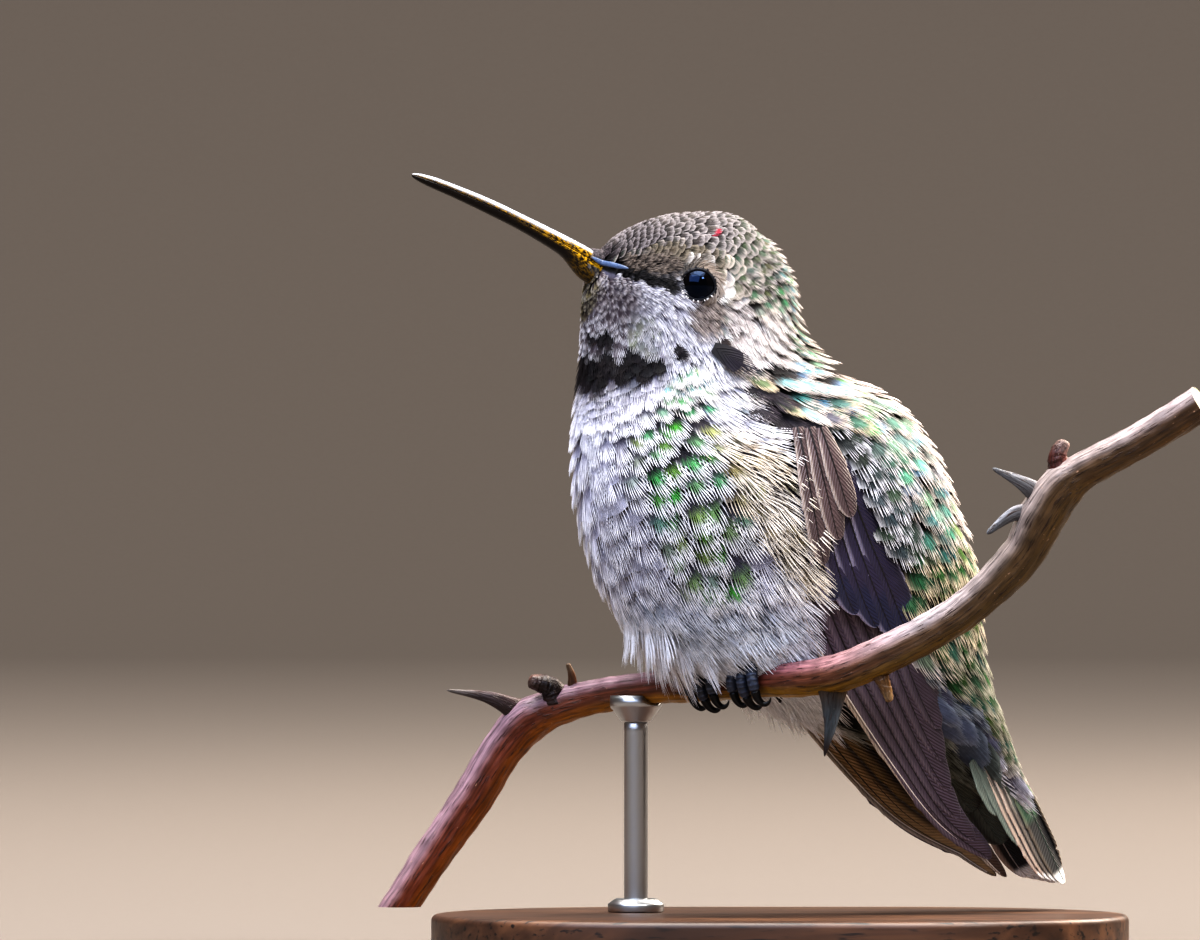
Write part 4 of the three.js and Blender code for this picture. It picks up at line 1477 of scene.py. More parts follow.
@dataclass
class Accents:
    """The single feathers that stand out from the coat, in the order in which they overlap.

    Args:
        name: the piece's name.
        slot: the material slot.
        accents: the feathers.
        tract: how their barbs are.
    """

    name: str
    slot: str
    accents: tuple[Accent, ...]
    tract: Tract

    def grow(self, form: BirdForm) -> None:
        """Grows the feathers on both sides into one piece.

        Args:
            form: the bird's form.
        """
        rng = np.random.default_rng(self.tract.seed)
        table = np.array([(a.station, a.angle, a.length, a.half, a.slant, a.lift, a.gloss)
                          for a in self.accents])
        table = np.vstack([table, table * np.array([1, -1, 1, 1, 1, 1, 1])])
        station, angle, length, half, slant, lift, gloss = table.T
        for _ in range(3):  # from the tips back to the roots
            flow, outward = Tract.lie(form, station, angle, slant)
            station = table[:, 0] - flow[:, 0, 0] * length
            angle = table[:, 1] - flow[:, 0, 1] * length
        flow, outward = Tract.lie(form, station, angle, slant)
        bed = Bed(form, self.tract, station, angle, length, half, flow, outward, rng)
        bed.proud = lift
        looks = [np.array([linear(a.look[k]) for a in self.accents * 2]) for k in range(3)]
        bed.piece(self.name, self.slot, Look(*looks, gloss))


@dataclass
class Coat:
    """The bird's skin and all the small feathers that grow on it.

    Args:
        form: the bird's form.
        wing: the folded wing.
        markings: what colours skin and feathers.
        flesh: the CAD nodes that the skin replaces.
        rows: how many rings of points the skin has.
        columns: how many points a ring has.
        wing_bed: how much deeper the skin lies under the folded wing.
    """

    form: BirdForm
    wing: WingForm
    markings: Markings
    flesh: tuple[str, ...] = ("head", "neck", "breast", "belly", "undertail_coverts", "back", "rump",
                              "uppertail_coverts")
    rows: int = 150
    columns: int = 96
    wing_bed: float = 2.6

    def build(self) -> None:
        """Makes the skin and grows every tract."""
        self.skin()
        for tract in self.tracts():
            tract.grow(self.form, self.wing, self.markings)
        for accents in self.accents():
            accents.grow(self.form)

    def skin(self) -> None:
        """One skin from the bill's base to the tail, inside the outline by the coat's depth."""
        degrees = np.linspace(0, 360, self.columns, endpoint=False)
        station, angle = np.meshgrid(np.linspace(0.02, 16.0, self.rows), degrees, indexing="ij")
        spot = self.form.point(station, angle)
        _, _, outward = self.form.steps(station, angle)
        cover = self.wing.cover(spot)
        beside = np.abs(np.sin(np.radians(angle))) > MIDLINE
        bed = smooth(cover, -0.35, 0.1) * smooth(cover, 1.35, 0.95) * beside
        depth = self.form.depth(station, angle) + self.wing_bed * bed
        half = through(self.form.table, station)[..., 4]
        depth = np.minimum(depth, 0.6 * half)
        points = spot - outward * depth[..., None]
        for row in (0, -1):
            points[row] = points[row].mean(0)
        look = self.markings.look(station, angle, np.full(station.shape, 0.5))
        patch = np.stack([angle / 360, station / 16.5], -1)
        draft = Draft()
        # the skin is tinted with the feathers' base colours, dimmed by a fifth as painted shade where it
        # shows between them
        draft.sheet(self.form.to_stand(points), look.base * 0.8, patch)
        draft.piece("skin", BareSkin("skin_thin_creased"), "feathers_breast", self.flesh)

    @staticmethod
    def tracts() -> list[Tract]:
        """Plans the stretches of the coat.

        Returns:
            The tracts, from the bill to the tail and then those of each side.
        """
        scale = dict(barbs=9, loose=0.9, fray=0.1, barb=0.042, points=4, gap=0.6)
        made = [
            Tract("coat_forehead", "feathers_head", (-1.0, 0.5), (-66, 66),
                  ((-1, 0.26, 0.34, 0.8, 0.22), (0.5, 0.42, 0.46, 1.2, 0.3)), disc=(0.55, 0.86), seed=10,
                  **scale),
            Tract("coat_crown", "feathers_head", (0.4, 4.5), (-72, 72),
                  ((0.4, 0.46, 0.5, 1.3, 0.33), (1.8, 0.62, 0.66, 1.8, 0.43), (3, 0.8, 0.84, 2.3, 0.54),
                   (4.5, 0.95, 1.0, 2.8, 0.66)), disc=(0.66, 0.87), lift=0.08, seed=11, **scale),
            Tract("coat_nape", "feathers_head", (4.1, 6.1), (-62, 62),
                  ((4.1, 0.95, 1.0, 2.8, 0.7), (6.1, 1.3, 1.5, 4.2, 1.05)), barbs=12, loose=0.7, fray=0.45,
                  barb=0.045, disc=(0.58, 0.86), lift=0.5, gap=0.5, seed=15),
            Tract("coat_throat", "feathers_neck", (0.5, 5.3), (110, 250),
                  ((0.5, 0.38, 0.44, 1.2, 0.28), (3, 0.7, 0.84, 2.2, 0.53), (5.3, 0.95, 1.05, 3.1, 0.75)),
                  barbs=9, loose=0.66, fray=0.12, barb=0.036, points=4, disc=(0.52, 0.84), gap=0.7, seed=14),
            Tract("coat_chin", "feathers_neck", (-1.0, 0.6), (104, 256),
                  ((-1.0, 0.26, 0.3, 0.8, 0.2), (0.6, 0.36, 0.4, 1.1, 0.26)),
                  barbs=7, loose=0.8, fray=0.3, barb=0.036, points=4, disc=(0.5, 0.78), seed=9),
            Tract("coat_breast", "feathers_breast", (4.9, 9.5), (98, 262),
                  ((4.9, 1.0, 1.0, 3.2, 0.8), (6.5, 1.7, 1.8, 5.4, 1.3), (9.5, 2.0, 2.1, 6.6, 1.6)),
                  barbs=14, loose=0.56, barb=0.058, slant=10, fray=0.2, disc=(0.6, 0.8), gap=0.4, seed=16),
            Tract("coat_belly", "feathers_belly", (9.3, 12.6), (96, 264),
                  ((9.3, 1.9, 2.0, 6.8, 1.6), (12.6, 1.9, 1.9, 6.4, 1.6)),
                  barbs=15, barb=0.055, loose=0.45, slant=10, fray=0.4, lift=0.25, gap=0.45, points=6,
                  seed=17),
            Tract("coat_belly_down", "feathers_undertail", (10.6, 13.6), (112, 248),
                  ((10.6, 1.5, 1.6, 5.6, 1.5), (13.6, 1.5, 1.6, 6.2, 1.5)), barbs=15, loose=0.35, fray=1.3,
                  barb=0.055, lift=0.6, points=6, disc=(0.3, 0.55), gap=0.6, seed=20),
            Tract("coat_undertail", "feathers_undertail", (12.4, 15.9), (112, 248),
                  ((12.4, 1.8, 1.9, 6.2, 1.8), (15.9, 1.3, 1.3, 6.2, 1.4)), barbs=16, loose=0.55, fray=0.8,
                  barb=0.06, gap=0.5, seed=21),
            Tract("coat_back", "feathers_back", (6.4, 10.3), (-86, 86),
                  ((6.4, 1.6, 1.7, 5.4, 1.3), (10.3, 2.0, 2.1, 6.8, 1.65)), barbs=14, loose=0.72, fray=0.5,
                  barb=0.06, slant=-4, under=(-0.2, 1.0), disc=(0.56, 0.86), lift=0.15, gap=0.45, seed=22),
            Tract("coat_rump", "feathers_rump", (10.1, 13.5), (-88, 88),
                  ((10.1, 2.0, 2.1, 6.8, 1.65), (13.5, 1.8, 1.9, 6.2, 1.6)), barbs=14, loose=0.68, fray=0.6,
                  barb=0.06, slant=-4, under=(-0.2, 1.0), disc=(0.56, 0.84), gap=0.45, seed=23),
            Tract("coat_tail_coverts", "feathers_uppertail", (13.2, 15.8), (-96, 96),
                  ((13.2, 1.7, 1.8, 6.0, 1.5), (15.8, 1.3, 1.4, 4.6, 1.2)), barbs=13, loose=0.78, fray=0.3,
                  barb=0.055, disc=(0.5, 0.88), gap=0.6, seed=24),
        ]
        for side, seed in ((Side.LEFT, 30), (Side.RIGHT, 40)):
            made += [
                Tract(f"coat_face_{side.word}", "feathers_head", (1.2, 5.6), side.span(64, 114),
                      ((1.2, 0.36, 0.38, 1.2, 0.25), (3, 0.46, 0.48, 1.6, 0.34), (5.6, 0.8, 0.8, 3.2, 0.6)),
                      barbs=9, loose=0.62, fray=0.6, barb=0.036, points=4, slant=14, disc=(0.56, 0.82),
                      gap=0.5, seed=seed),
                Tract(f"coat_neck_{side.word}", "feathers_neck", (4.9, 6.7), side.span(52, 104),
                      ((4.9, 0.9, 1.0, 3.6, 0.8), (6.7, 1.6, 1.7, 5.4, 1.25)), barbs=13, loose=0.5, fray=0.7,
                      barb=0.05, slant=16, disc=(0.56, 0.78), gap=0.4, seed=seed + 1),
                Tract(f"coat_flank_{side.word}", "feathers_belly", (6.3, 10.2), side.span(88, 112),
                      ((6.3, 1.5, 1.5, 5.6, 1.2), (9, 1.7, 1.6, 7.4, 1.5), (10.2, 1.8, 1.7, 7.0, 1.5)),
                      barbs=13, loose=0.42, fray=0.8, slant=18, lift=0.9, barb=0.055, points=7,
                      under=(0.36, 9), disc=(0.5, 0.7), gap=0.25, seed=seed + 2),
            ]
        return made

    @staticmethod
    def accents() -> tuple[Accents, ...]:
        """Plans the single feathers that stand out.

        Returns:
            Those of the head and neck, the shoulder, the tail's sides, the belly and the vent.
        """
        dark = ("3a3238", "1c171b", "100d10")
        dusk = ("41373f", "231c25", "110d13")
        pale = ("d6cac2", "83a8aa", "33261f")
        olive = ("b5a68c", "5d6c4a", "241f18")
        moss = ("8b9488", "59615a", "1c1e1c")
        slate = ("8b9691", "525b5a", "181a1b")
        blue = ("8791a0", "5c6676", "1b1e26")
        steel = ("97a1b2", "67718a", "1d202a")
        return (
            Accents("coat_marks", "feathers_head", (
                Accent(3.66, 43, 1.5, 0.52, 8, 0.16, ("a8344e", "8c1630", "4a1020"), 0.3),
                Accent(5.34, 81, 1.9, 0.4, 62, 0.24, ("5c4c46", "2e2422", "151010")),
                Accent(5.1, 101, 2.4, 0.62, 62, 0.28, dark),
                Accent(4.95, 104, 1.8, 0.5, 40, 0.22, dark),
                Accent(6.1, 72, 4.8, 1.1, 50, 0.95, ("4a4350", "26202c", "120e14"), 0.2),
            ), Tract("marks", barbs=15, loose=0.6, fray=0.4, barb=0.045,
                     disc=(0.35, 0.9), gap=0.6, seed=51)),
            Accents("coat_scapulars", "feathers_back", (
                Accent(6.75, 76, 4.6, 1.3, 2, 0.2, dusk), Accent(7.2, 82, 4.6, 1.3, 0, 0.25, dusk),
                Accent(7.15, 73, 4.6, 1.3, 0, 0.35, dusk), Accent(7.7, 78, 4.4, 1.2, -6, 0.4, dusk),
                Accent(7.9, 72, 5.0, 1.3, -4, 0.4, dusk), Accent(6.6, 72, 3.8, 0.8, 4, 0.4, olive, 0.2),
                Accent(7.42, 74, 4.6, 0.62, -8, 0.7, olive, 0.4),
                Accent(7.82, 70, 5.2, 0.7, -6, 0.75, pale, 0.4),
                Accent(8.0, 64, 5.2, 1.0, 2, 0.6, ("b3a69c", "5f5c66", "1d181e"), 0.1),
                Accent(6.9, 60, 4.2, 1.0, 12, 0.45, pale, 0.4),
                Accent(7.1, 55, 4.6, 1.1, 12, 0.55, pale, 0.5),
                Accent(7.35, 50, 4.8, 1.1, 12, 0.65, pale, 0.5),
                Accent(7.55, 44, 4.8, 1.1, 12, 0.65, pale, 0.4),
                Accent(7.75, 52, 4.8, 1.1, 8, 0.5, ("c2b096", "567a72", "2d2019"), 0.4),
                Accent(8.3, 56, 5.2, 1.1, 6, 0.5, ("c6b49c", "4f7663", "2a1c15"), 0.4),
            ), Tract("scapulars", barbs=19, loose=0.55, fray=0.5, barb=0.045,
                     disc=(0.4, 0.8), gap=0.3, lift=0.3, seed=52)),
            Accents("coat_tail_sides", "feathers_undertail", (
                Accent(16.6, 178, 7.0, 1.7, 0, 0.0, moss), Accent(16.2, 160, 7.0, 1.7, 0, 0.1, moss),
                Accent(16.5, 142, 7.5, 1.7, 0, 0.2, ("828c82", "4d554e", "181a19")),
                Accent(16.2, 126, 7.5, 1.6, 4, 0.3, slate), Accent(15.6, 116, 7.5, 1.5, 4, 0.4, blue, 0.1),
                Accent(15.0, 106, 7.5, 1.5, 2, 0.5, steel, 0.1),
                Accent(14.6, 94, 7.0, 1.4, 0, 0.5, steel, 0.1), Accent(15.9, 108, 7.5, 1.6, 2, 0.45, slate),
                Accent(15.5, 104, 7.0, 1.5, 0, 0.5, blue, 0.1),
                Accent(15.1, 98, 6.5, 1.4, 0, 0.5, steel, 0.1),
            ), Tract("tail_sides", barbs=27, loose=0.86, fray=0.2, barb=0.055,
                     disc=(0.2, 0.92), gap=0.7, lift=0.2, seed=55)),
            Accents("coat_tufts", "feathers_undertail", tuple(
                Accent(station, angle, 6.0, 1.5, 0, 0.0, ("f6f6fb", "d5d6df", "9a9aa8"))
                for station, angle in ((11.2, 176), (11.3, 166), (11.4, 158), (11.55, 174), (11.6, 164),
                                       (11.75, 170), (11.85, 178), (11.9, 160), (12.0, 172), (12.15, 166),
                                       (12.2, 154), (12.3, 176))
            ), Tract("tufts", barbs=25, loose=0.3, fray=1.3, barb=0.045, points=8,
                     disc=(0.3, 0.5), gap=0.6, lift=2.0, seed=53)),
            Accents("coat_vent", "feathers_undertail", tuple(
                Accent(station, angle, 4.8, 0.9, 0, 0.0, ("f4f5f6", "cfd3d3", "8f9296"))
                for station, angle in ((13.0, 176), (13.1, 164), (13.2, 152), (13.4, 172), (13.5, 160),
                                       (13.6, 148), (13.8, 174), (13.9, 162), (14.0, 150), (14.3, 168))
            ), Tract("vent", barbs=15, loose=0.35, fray=1.2, barb=0.055, points=7,
                     disc=(0.3, 0.5), gap=0.6, lift=1.3, seed=54)),
        )


# ---- Eyes and bill -------------------------------------------------------------------------------


@dataclass
class Eye:
    """One eye: the ball, its lids and the short bristles along them.

    Args:
        form: the bird's form.
        side: which eye it is.
        x: where its middle is, forwards.
        z: where its middle is, upwards.
        radius: the ball's radius.
        showing: how far the ball stands out of the head's outline.
        opening: the half width and half height of the opening between the lids.
        tilt: degrees that the opening rises to its front.
    """

    form: BirdForm
    side: Side
    x: float = 7.2
    z: float = 61.8
    radius: float = 1.85
    showing: float = 0.8
    opening: tuple[float, float] = (1.38, 1.3)
    tilt: float = 16.0

    def __post_init__(self) -> None:
        """Finds the ball's centre and the directions of its opening."""
        width = self.form.point(*(np.array(v) for v in self.form.side_place(self.x, self.z)))[1]
        sign = self.side.value
        self.centre = np.array([self.x, sign * (width + self.showing - self.radius), self.z])
        self.axis = unit(np.array([0.3, sign * 0.95, 0.03]))
        lean = math.radians(self.tilt)
        ahead = np.array([math.cos(lean), 0, math.sin(lean)])
        self.ahead = unit(ahead - self.axis * np.dot(ahead, self.axis))
        self.up = np.cross(self.ahead, self.axis) * sign

    def build(self) -> None:
        """Makes the ball and the lids."""
        self.ball()
        self.lids()

    def rim(self, turn: Array, grow: float) -> Array:
        """Places round the opening.

        Args:
            turn: angles round it.
            grow: how far outside it.

        Returns:
            Millimetres ahead of and above the axis.
        """
        wide, high = self.opening
        corner = 1 + 0.10 * np.cos(turn) ** 8
        return np.stack([(wide * corner + grow) * np.cos(turn), (high + grow) * np.sin(turn)], -1)

    def at(self, flat: Array, height: Array) -> Array:
        """Points about the eye's axis.

        Args:
            flat: places ahead of and above the axis.
            height: how far out along it.

        Returns:
            Points in the stand's frame.
        """
        spot = self.centre + flat[..., :1] * self.ahead + flat[..., 1:] * self.up
        return self.form.to_stand(spot + height[..., None] * self.axis)

    def ball(self) -> None:
        """The eyeball, a little more curved over the pupil."""
        rows, columns = 40, 56
        lean, turn = np.meshgrid(np.linspace(0, math.pi, rows), round_turn(columns), indexing="ij")
        bulge = self.radius + 0.05 * np.exp(-(lean / 0.5) ** 2)
        flat = np.stack([bulge * np.sin(lean) * np.cos(turn), bulge * np.sin(lean) * np.sin(turn)], -1)
        points = self.at(flat, bulge * np.cos(lean))
        iris = smooth(lean, 0.42, 0.5)[..., None]
        tint = mix(linear("040405"), linear("0d0a09"), iris)
        patch = np.stack([turn / 7 + 0.05, lean / 4 + 0.05], -1)
        draft = Draft()
        draft.sheet(points, tint, patch)
        word = self.side.word
        draft.piece(f"eyeball_{word}", Cornea("cornea_wet"), "eye", [f"eye_{word}"])

    def lids(self) -> None:
        """The lids: a fold of bare dark skin that hugs the ball and runs out under the feathers."""
        turn = round_turn(72)
        # how far outside the opening, and how far out from where the ball would be
        profile = ((-0.05, -0.12), (-0.02, 0.03), (0.04, 0.09), (0.12, 0.1), (0.2, 0.05), (0.3, -0.08),
                   (0.46, -0.34), (0.7, -0.7))
        flats = np.stack([self.rim(turn, grow) for grow, _ in profile])
        on_ball = np.sqrt(np.clip(self.radius ** 2 - np.sum(self.rim(turn, 0.0) ** 2, -1), 0.2, None))
        beads = 0.014 * np.sin(turn * 31)
        heights = np.stack([on_ball + drop + beads * (0 < grow < 0.3) for grow, drop in profile])
        points = self.at(flats, heights)
        # painted shade: the lids' skin is lighter at the opening and darker out where it runs under the
        # feathers
        shade = np.linspace(1.3, 0.7, len(profile))[:, None, None]
        draft = Draft()
        patch = paired(turn / 7, np.linspace(0.1, 0.3, len(profile))[:, None])
        draft.sheet(points, linear("15161d") * shade, patch)
        self.bristle(draft, on_ball, turn)
        draft.piece(f"eyelids_{self.side.word}", BareSkin("skin_thin_creased"), "feathers_head")

    def bristle(self, draft: Draft, on_ball: Array, turn: Array) -> None:
        """Adds the short feathers that stand round the lids: three rings that cover the lids' outer slope.

        Args:
            draft: the lids' piece.
            on_ball: how far out along the axis the opening's edge lies, at each of the angles.
            turn: the angles.
        """
        rng = np.random.default_rng(31)
        # from straight behind the eye round by its lower lid, its front and its brow
        hexes = ("efe6e0", "8f8379", "7d7478", "b5b2ba", "14110f", "0e0c0e", "4a4038", "8a7c70", "b5a89f",
                 "efe6e0")
        palette = np.array([linear(colour) for colour in hexes])
        # where each ring of them starts, how far it reaches, how far it drops, how many there are, and
        # whether
        # they are the white ones over the lower lid
        rings = ((0.16, 0.2, 0.0, 30, True), (0.24, 0.5, 0.34, 110, False), (0.5, 0.7, 0.5, 110, False))
        for start, reach, drop, count, white in rings:
            around = round_turn(count) + rng.normal(0, 0.04, count)
            steps = np.linspace(0, 1, 5)
            grow = start + reach * steps * rng.uniform(0.8, 1.2, count)[:, None]
            edge = np.interp(around, turn, on_ball)[:, None]
            level = edge + 0.13 - (start - 0.16) * 1.4 - drop * steps ** 0.8 + 0.05 * white
            wide, high = self.opening
            lean = (around + rng.normal(0.0, 0.12, count))[:, None] + 0.35 * steps * (not white)
            flat = np.stack([(wide + grow) * np.cos(lean), (high + grow) * np.sin(lean)], -1)
            centre = self.at(flat, level)
            way = unit(np.gradient(centre, axis=1))
            outward = self.form.turn_only(self.axis)
            beside = unit(np.cross(way, outward))
            width = 0.055 * np.array([0.8, 1.0, 1.0, 0.8, 0.3])[:, None]
            ribbon = np.stack([centre - beside * width, centre + outward * width, centre + beside * width], 2)
            place = ((around - math.pi) % (2 * math.pi)) / (2 * math.pi) * (len(palette) - 1)
            low = np.minimum(place.astype(int), len(palette) - 2)
            tint = mix(palette[low], palette[low + 1], (place - low)[:, None])
            if white:
                tint = mix(linear("15131a"), linear("fbf9f8"),
                           smooth(-np.sin(around + 0.2), 0.1, 0.4)[:, None])
            tint = tint * rng.uniform(0.75, 1.15, (count, 1))
            patch = 0.6 + 0.01 * np.stack([np.tile(np.arange(3), 5), np.repeat(np.arange(5), 3)], -1)
            draft.add(ribbon.reshape(count, -1, 3), grid_faces(5, 3), tint[:, None], patch[None])


@dataclass
class Bill:
    """The long bill: two mandibles that meet along a level line, and the scale over each nostril.

    Args:
        form: the bird's form.
        root: x and z of its base, where the feathers end.
        tip: x and z of its tip.
        bow: how far its middle stands above the straight line from base to tip.
        inside: how far it runs back into the head.
        flare: how much deeper the lower mandible is at its base.
        depth: half its depth at the base.
        width: half its width at the base.
        taper: the share of its thickness that it keeps to near its tip.
        gap: half the gap between the mandibles.
    """

    form: BirdForm
    root: tuple[float, float] = (14.4, 63.4)
    tip: tuple[float, float] = (32.6, 71.8)
    bow: float = 0.55
    inside: float = 3.6
    flare: float = 0.8
    depth: float = 1.05
    width: float = 1.15
    taper: float = 0.45
    gap: float = 0.03

    def __post_init__(self) -> None:
        """Lays the bill's axis."""
        root, tip = (np.array([x, 0, z]) for x, z in (self.root, self.tip))
        self.start, self.length = root, float(np.linalg.norm(tip - root))
        self.way = (tip - root) / self.length
        self.up = np.array([-self.way[2], 0, self.way[0]])

    def build(self) -> None:
        """Makes both mandibles and the nostril scales."""
        self.mandible(1, "bill_upper")
        self.mandible(-1, "bill_lower")
        self.nostrils()

    def thickness(self, share: Array) -> Array:
        """How thick the bill is: swollen at the base, even along its middle, then pointed.

        Args:
            share: places along it.

        Returns:
            The share of its thickness at the base.
        """
        middle = 0.64
        swelling = mix(1, middle, smooth(share, -0.05, 0.5))
        return swelling * mix(1, self.taper / middle, smooth(share, 0.5, 1)) * rounded_end(share, 0.86, 0.003)

    def mandible(self, sign: int, name: str) -> None:
        """One mandible: a half round outside and a flat cutting face inside.

        Args:
            sign: 1 for the upper one and -1 for the lower.
            name: the CAD node that it replaces.
        """
        rows, arc = 90, 17
        share = 1 - (1 - np.linspace(0, 1, rows)) ** 1.15
        share = mix(-self.inside / self.length, 1, share)
        thick = self.thickness(share)[:, None, None]
        flare = 1 + (self.flare if sign < 0 else 0) * smooth(share * self.length, 4.4, 1.2)[:, None, None]
        bow = 4 * self.bow * np.clip(share, 0, None) * (1 - share)
        rise = bow + sign * self.gap
        middle = self.start + share[:, None] * self.length * self.way + rise[:, None] * self.up
        turn = np.linspace(0, math.pi, arc)
        round_ = np.sin(turn) ** (0.8 if sign > 0 else 1.0)
        beside = np.array([0, 1, 0])
        outer = (middle[:, None] + self.width * thick * np.cos(turn)[:, None] * beside
                 + sign * self.depth * thick * flare * round_[:, None] * self.up)
        inner = (middle[:, None] + self.width * 0.5 * thick * np.array([-0.9, 0.0, 0.9])[:, None] * beside
                 + sign * 0.02 * self.up)
        points = np.concatenate([outer, inner], 1)
        rise = np.concatenate([np.sin(turn), np.zeros(3)])[None]
        along = np.clip(share, 0, 1)[:, None]
        low = mix(0.5, 0.14, smooth(along, 0.0, 0.35))
        # painted highlight: the top of the upper mandible is tinted pale grey-blue where the overhead lamps
        # shine on it, narrower towards the base and dimmer on the very ridge line
        shine = smooth(rise, low, low + 0.16)
        shine = shine * (0.85 if sign > 0 else 0.0) * (1 - 0.6 * smooth(rise, 0.97, 1.0))
        tint = mix(linear("120c0a"), linear("b4b7bf"), shine[..., None])
        base = smooth(along, 0.14, 0.0) * (1.0 if sign < 0 else 0.4)
        tint = mix(tint, linear("1c1408"), 0.8 * base[..., None])
        if sign > 0:
            gild = smooth(rise, low + 0.24, low)
        else:
            gild = mix(smooth(rise, 0.4, 0.1), 1, smooth(along, 0.2, 0.0)) * smooth(along, 0.55, 0.1)
            gild = gild * (1 - 0.8 * smooth(rise, 0.15, 0.7) * smooth(along, 0.2, 0.05))
        gild = gild * mix(0.5, 1.0, smooth(along, 0.85, 0.3))
        spread = np.concatenate([np.cos(turn), [-0.4, 0, 0.4]])
        across = spread * self.width * self.thickness(share)[:, None]
        patch = paired(0.05 + 0.9 * along, np.linspace(0.1, 0.9, arc + 3))
        draft = Draft()
        draft.sheet(self.form.to_stand(points), tint, patch,
                    gild=gild, run=along * self.length, east=across, north=rise)
        draft.piece(name + "_horn", Horn("bill_horn_waxy"), "bill", [name])

    def nostrils(self) -> None:
        """The soft blue-grey scale that covers each nostril at the bill's base."""
        rows, sides = 22, 14
        share = np.linspace(0.001, 0.999, rows)
        swell = np.sqrt(1 - (2 * share - 1) ** 2)
        x, z = mix(15.6, 13.3, share), mix(64.4, 63.3, share) - 0.12 * np.sin(math.pi * share)
        places = np.array([self.form.side_place(*place) for place in zip(x, z)])
        width = self.form.point(*places.T)[:, 1]
        draft = Draft()
        for side in Side:
            middle = np.stack([x, side.value * (width + 0.04), z], -1)
            way = unit(np.gradient(middle, axis=0))
            outward = unit(np.cross(way, self.up))
            outward = outward * np.sign(outward[:, 1:2] * side.value)
            rings = loop_tube(middle, outward, np.cross(way, outward), 0.12 * swell, 0.26 * swell, sides)
            patch = paired(np.linspace(0.1, 0.3, rows)[:, None], np.linspace(0.1, 0.3, sides))
            draft.sheet(self.form.to_stand(rings), linear("4a5c7c"), patch + 0.3 * (side is Side.LEFT))
        draft.piece("nostril_scales", BareSkin("nostril_scale_waxy", 0.35), "bill")


# ---- Flight feathers -----------------------------------------------------------------------------


@dataclass(frozen=True)
class Quill:
    """How one flight feather is coloured and shaped.

    Args:
        vane: the colour of the vane.
        edge: the colour of its outer edges.
        tip: the colour of its end.
        shaft: the colour of its shaft.
        edges: how strongly the leading and the trailing edge are coloured.
        tipped: the share of the length at which the end's colour begins.
        spot: the colour of the very tip, or nothing.
        off: where the shaft lies between the leading (-1) and the trailing edge (1).
        sheen: how glossy the vane is.
        under: the colour of its lower side, or nothing where it is the same.
        wide: how wide it is against the others of its row.
    """

    vane: str
    edge: str
    tip: str
    shaft: str
    edges: tuple[float, float] = (0.6, 0.6)
    tipped: float = 2.0
    spot: str = ""
    off: float = -0.45
    sheen: float = 0.3
    under: str = ""
    wide: float = 1.0


# gives points and outward directions in the stand's frame for shares of a feather's length
Path = Callable[[Array], tuple[Array, Array]]


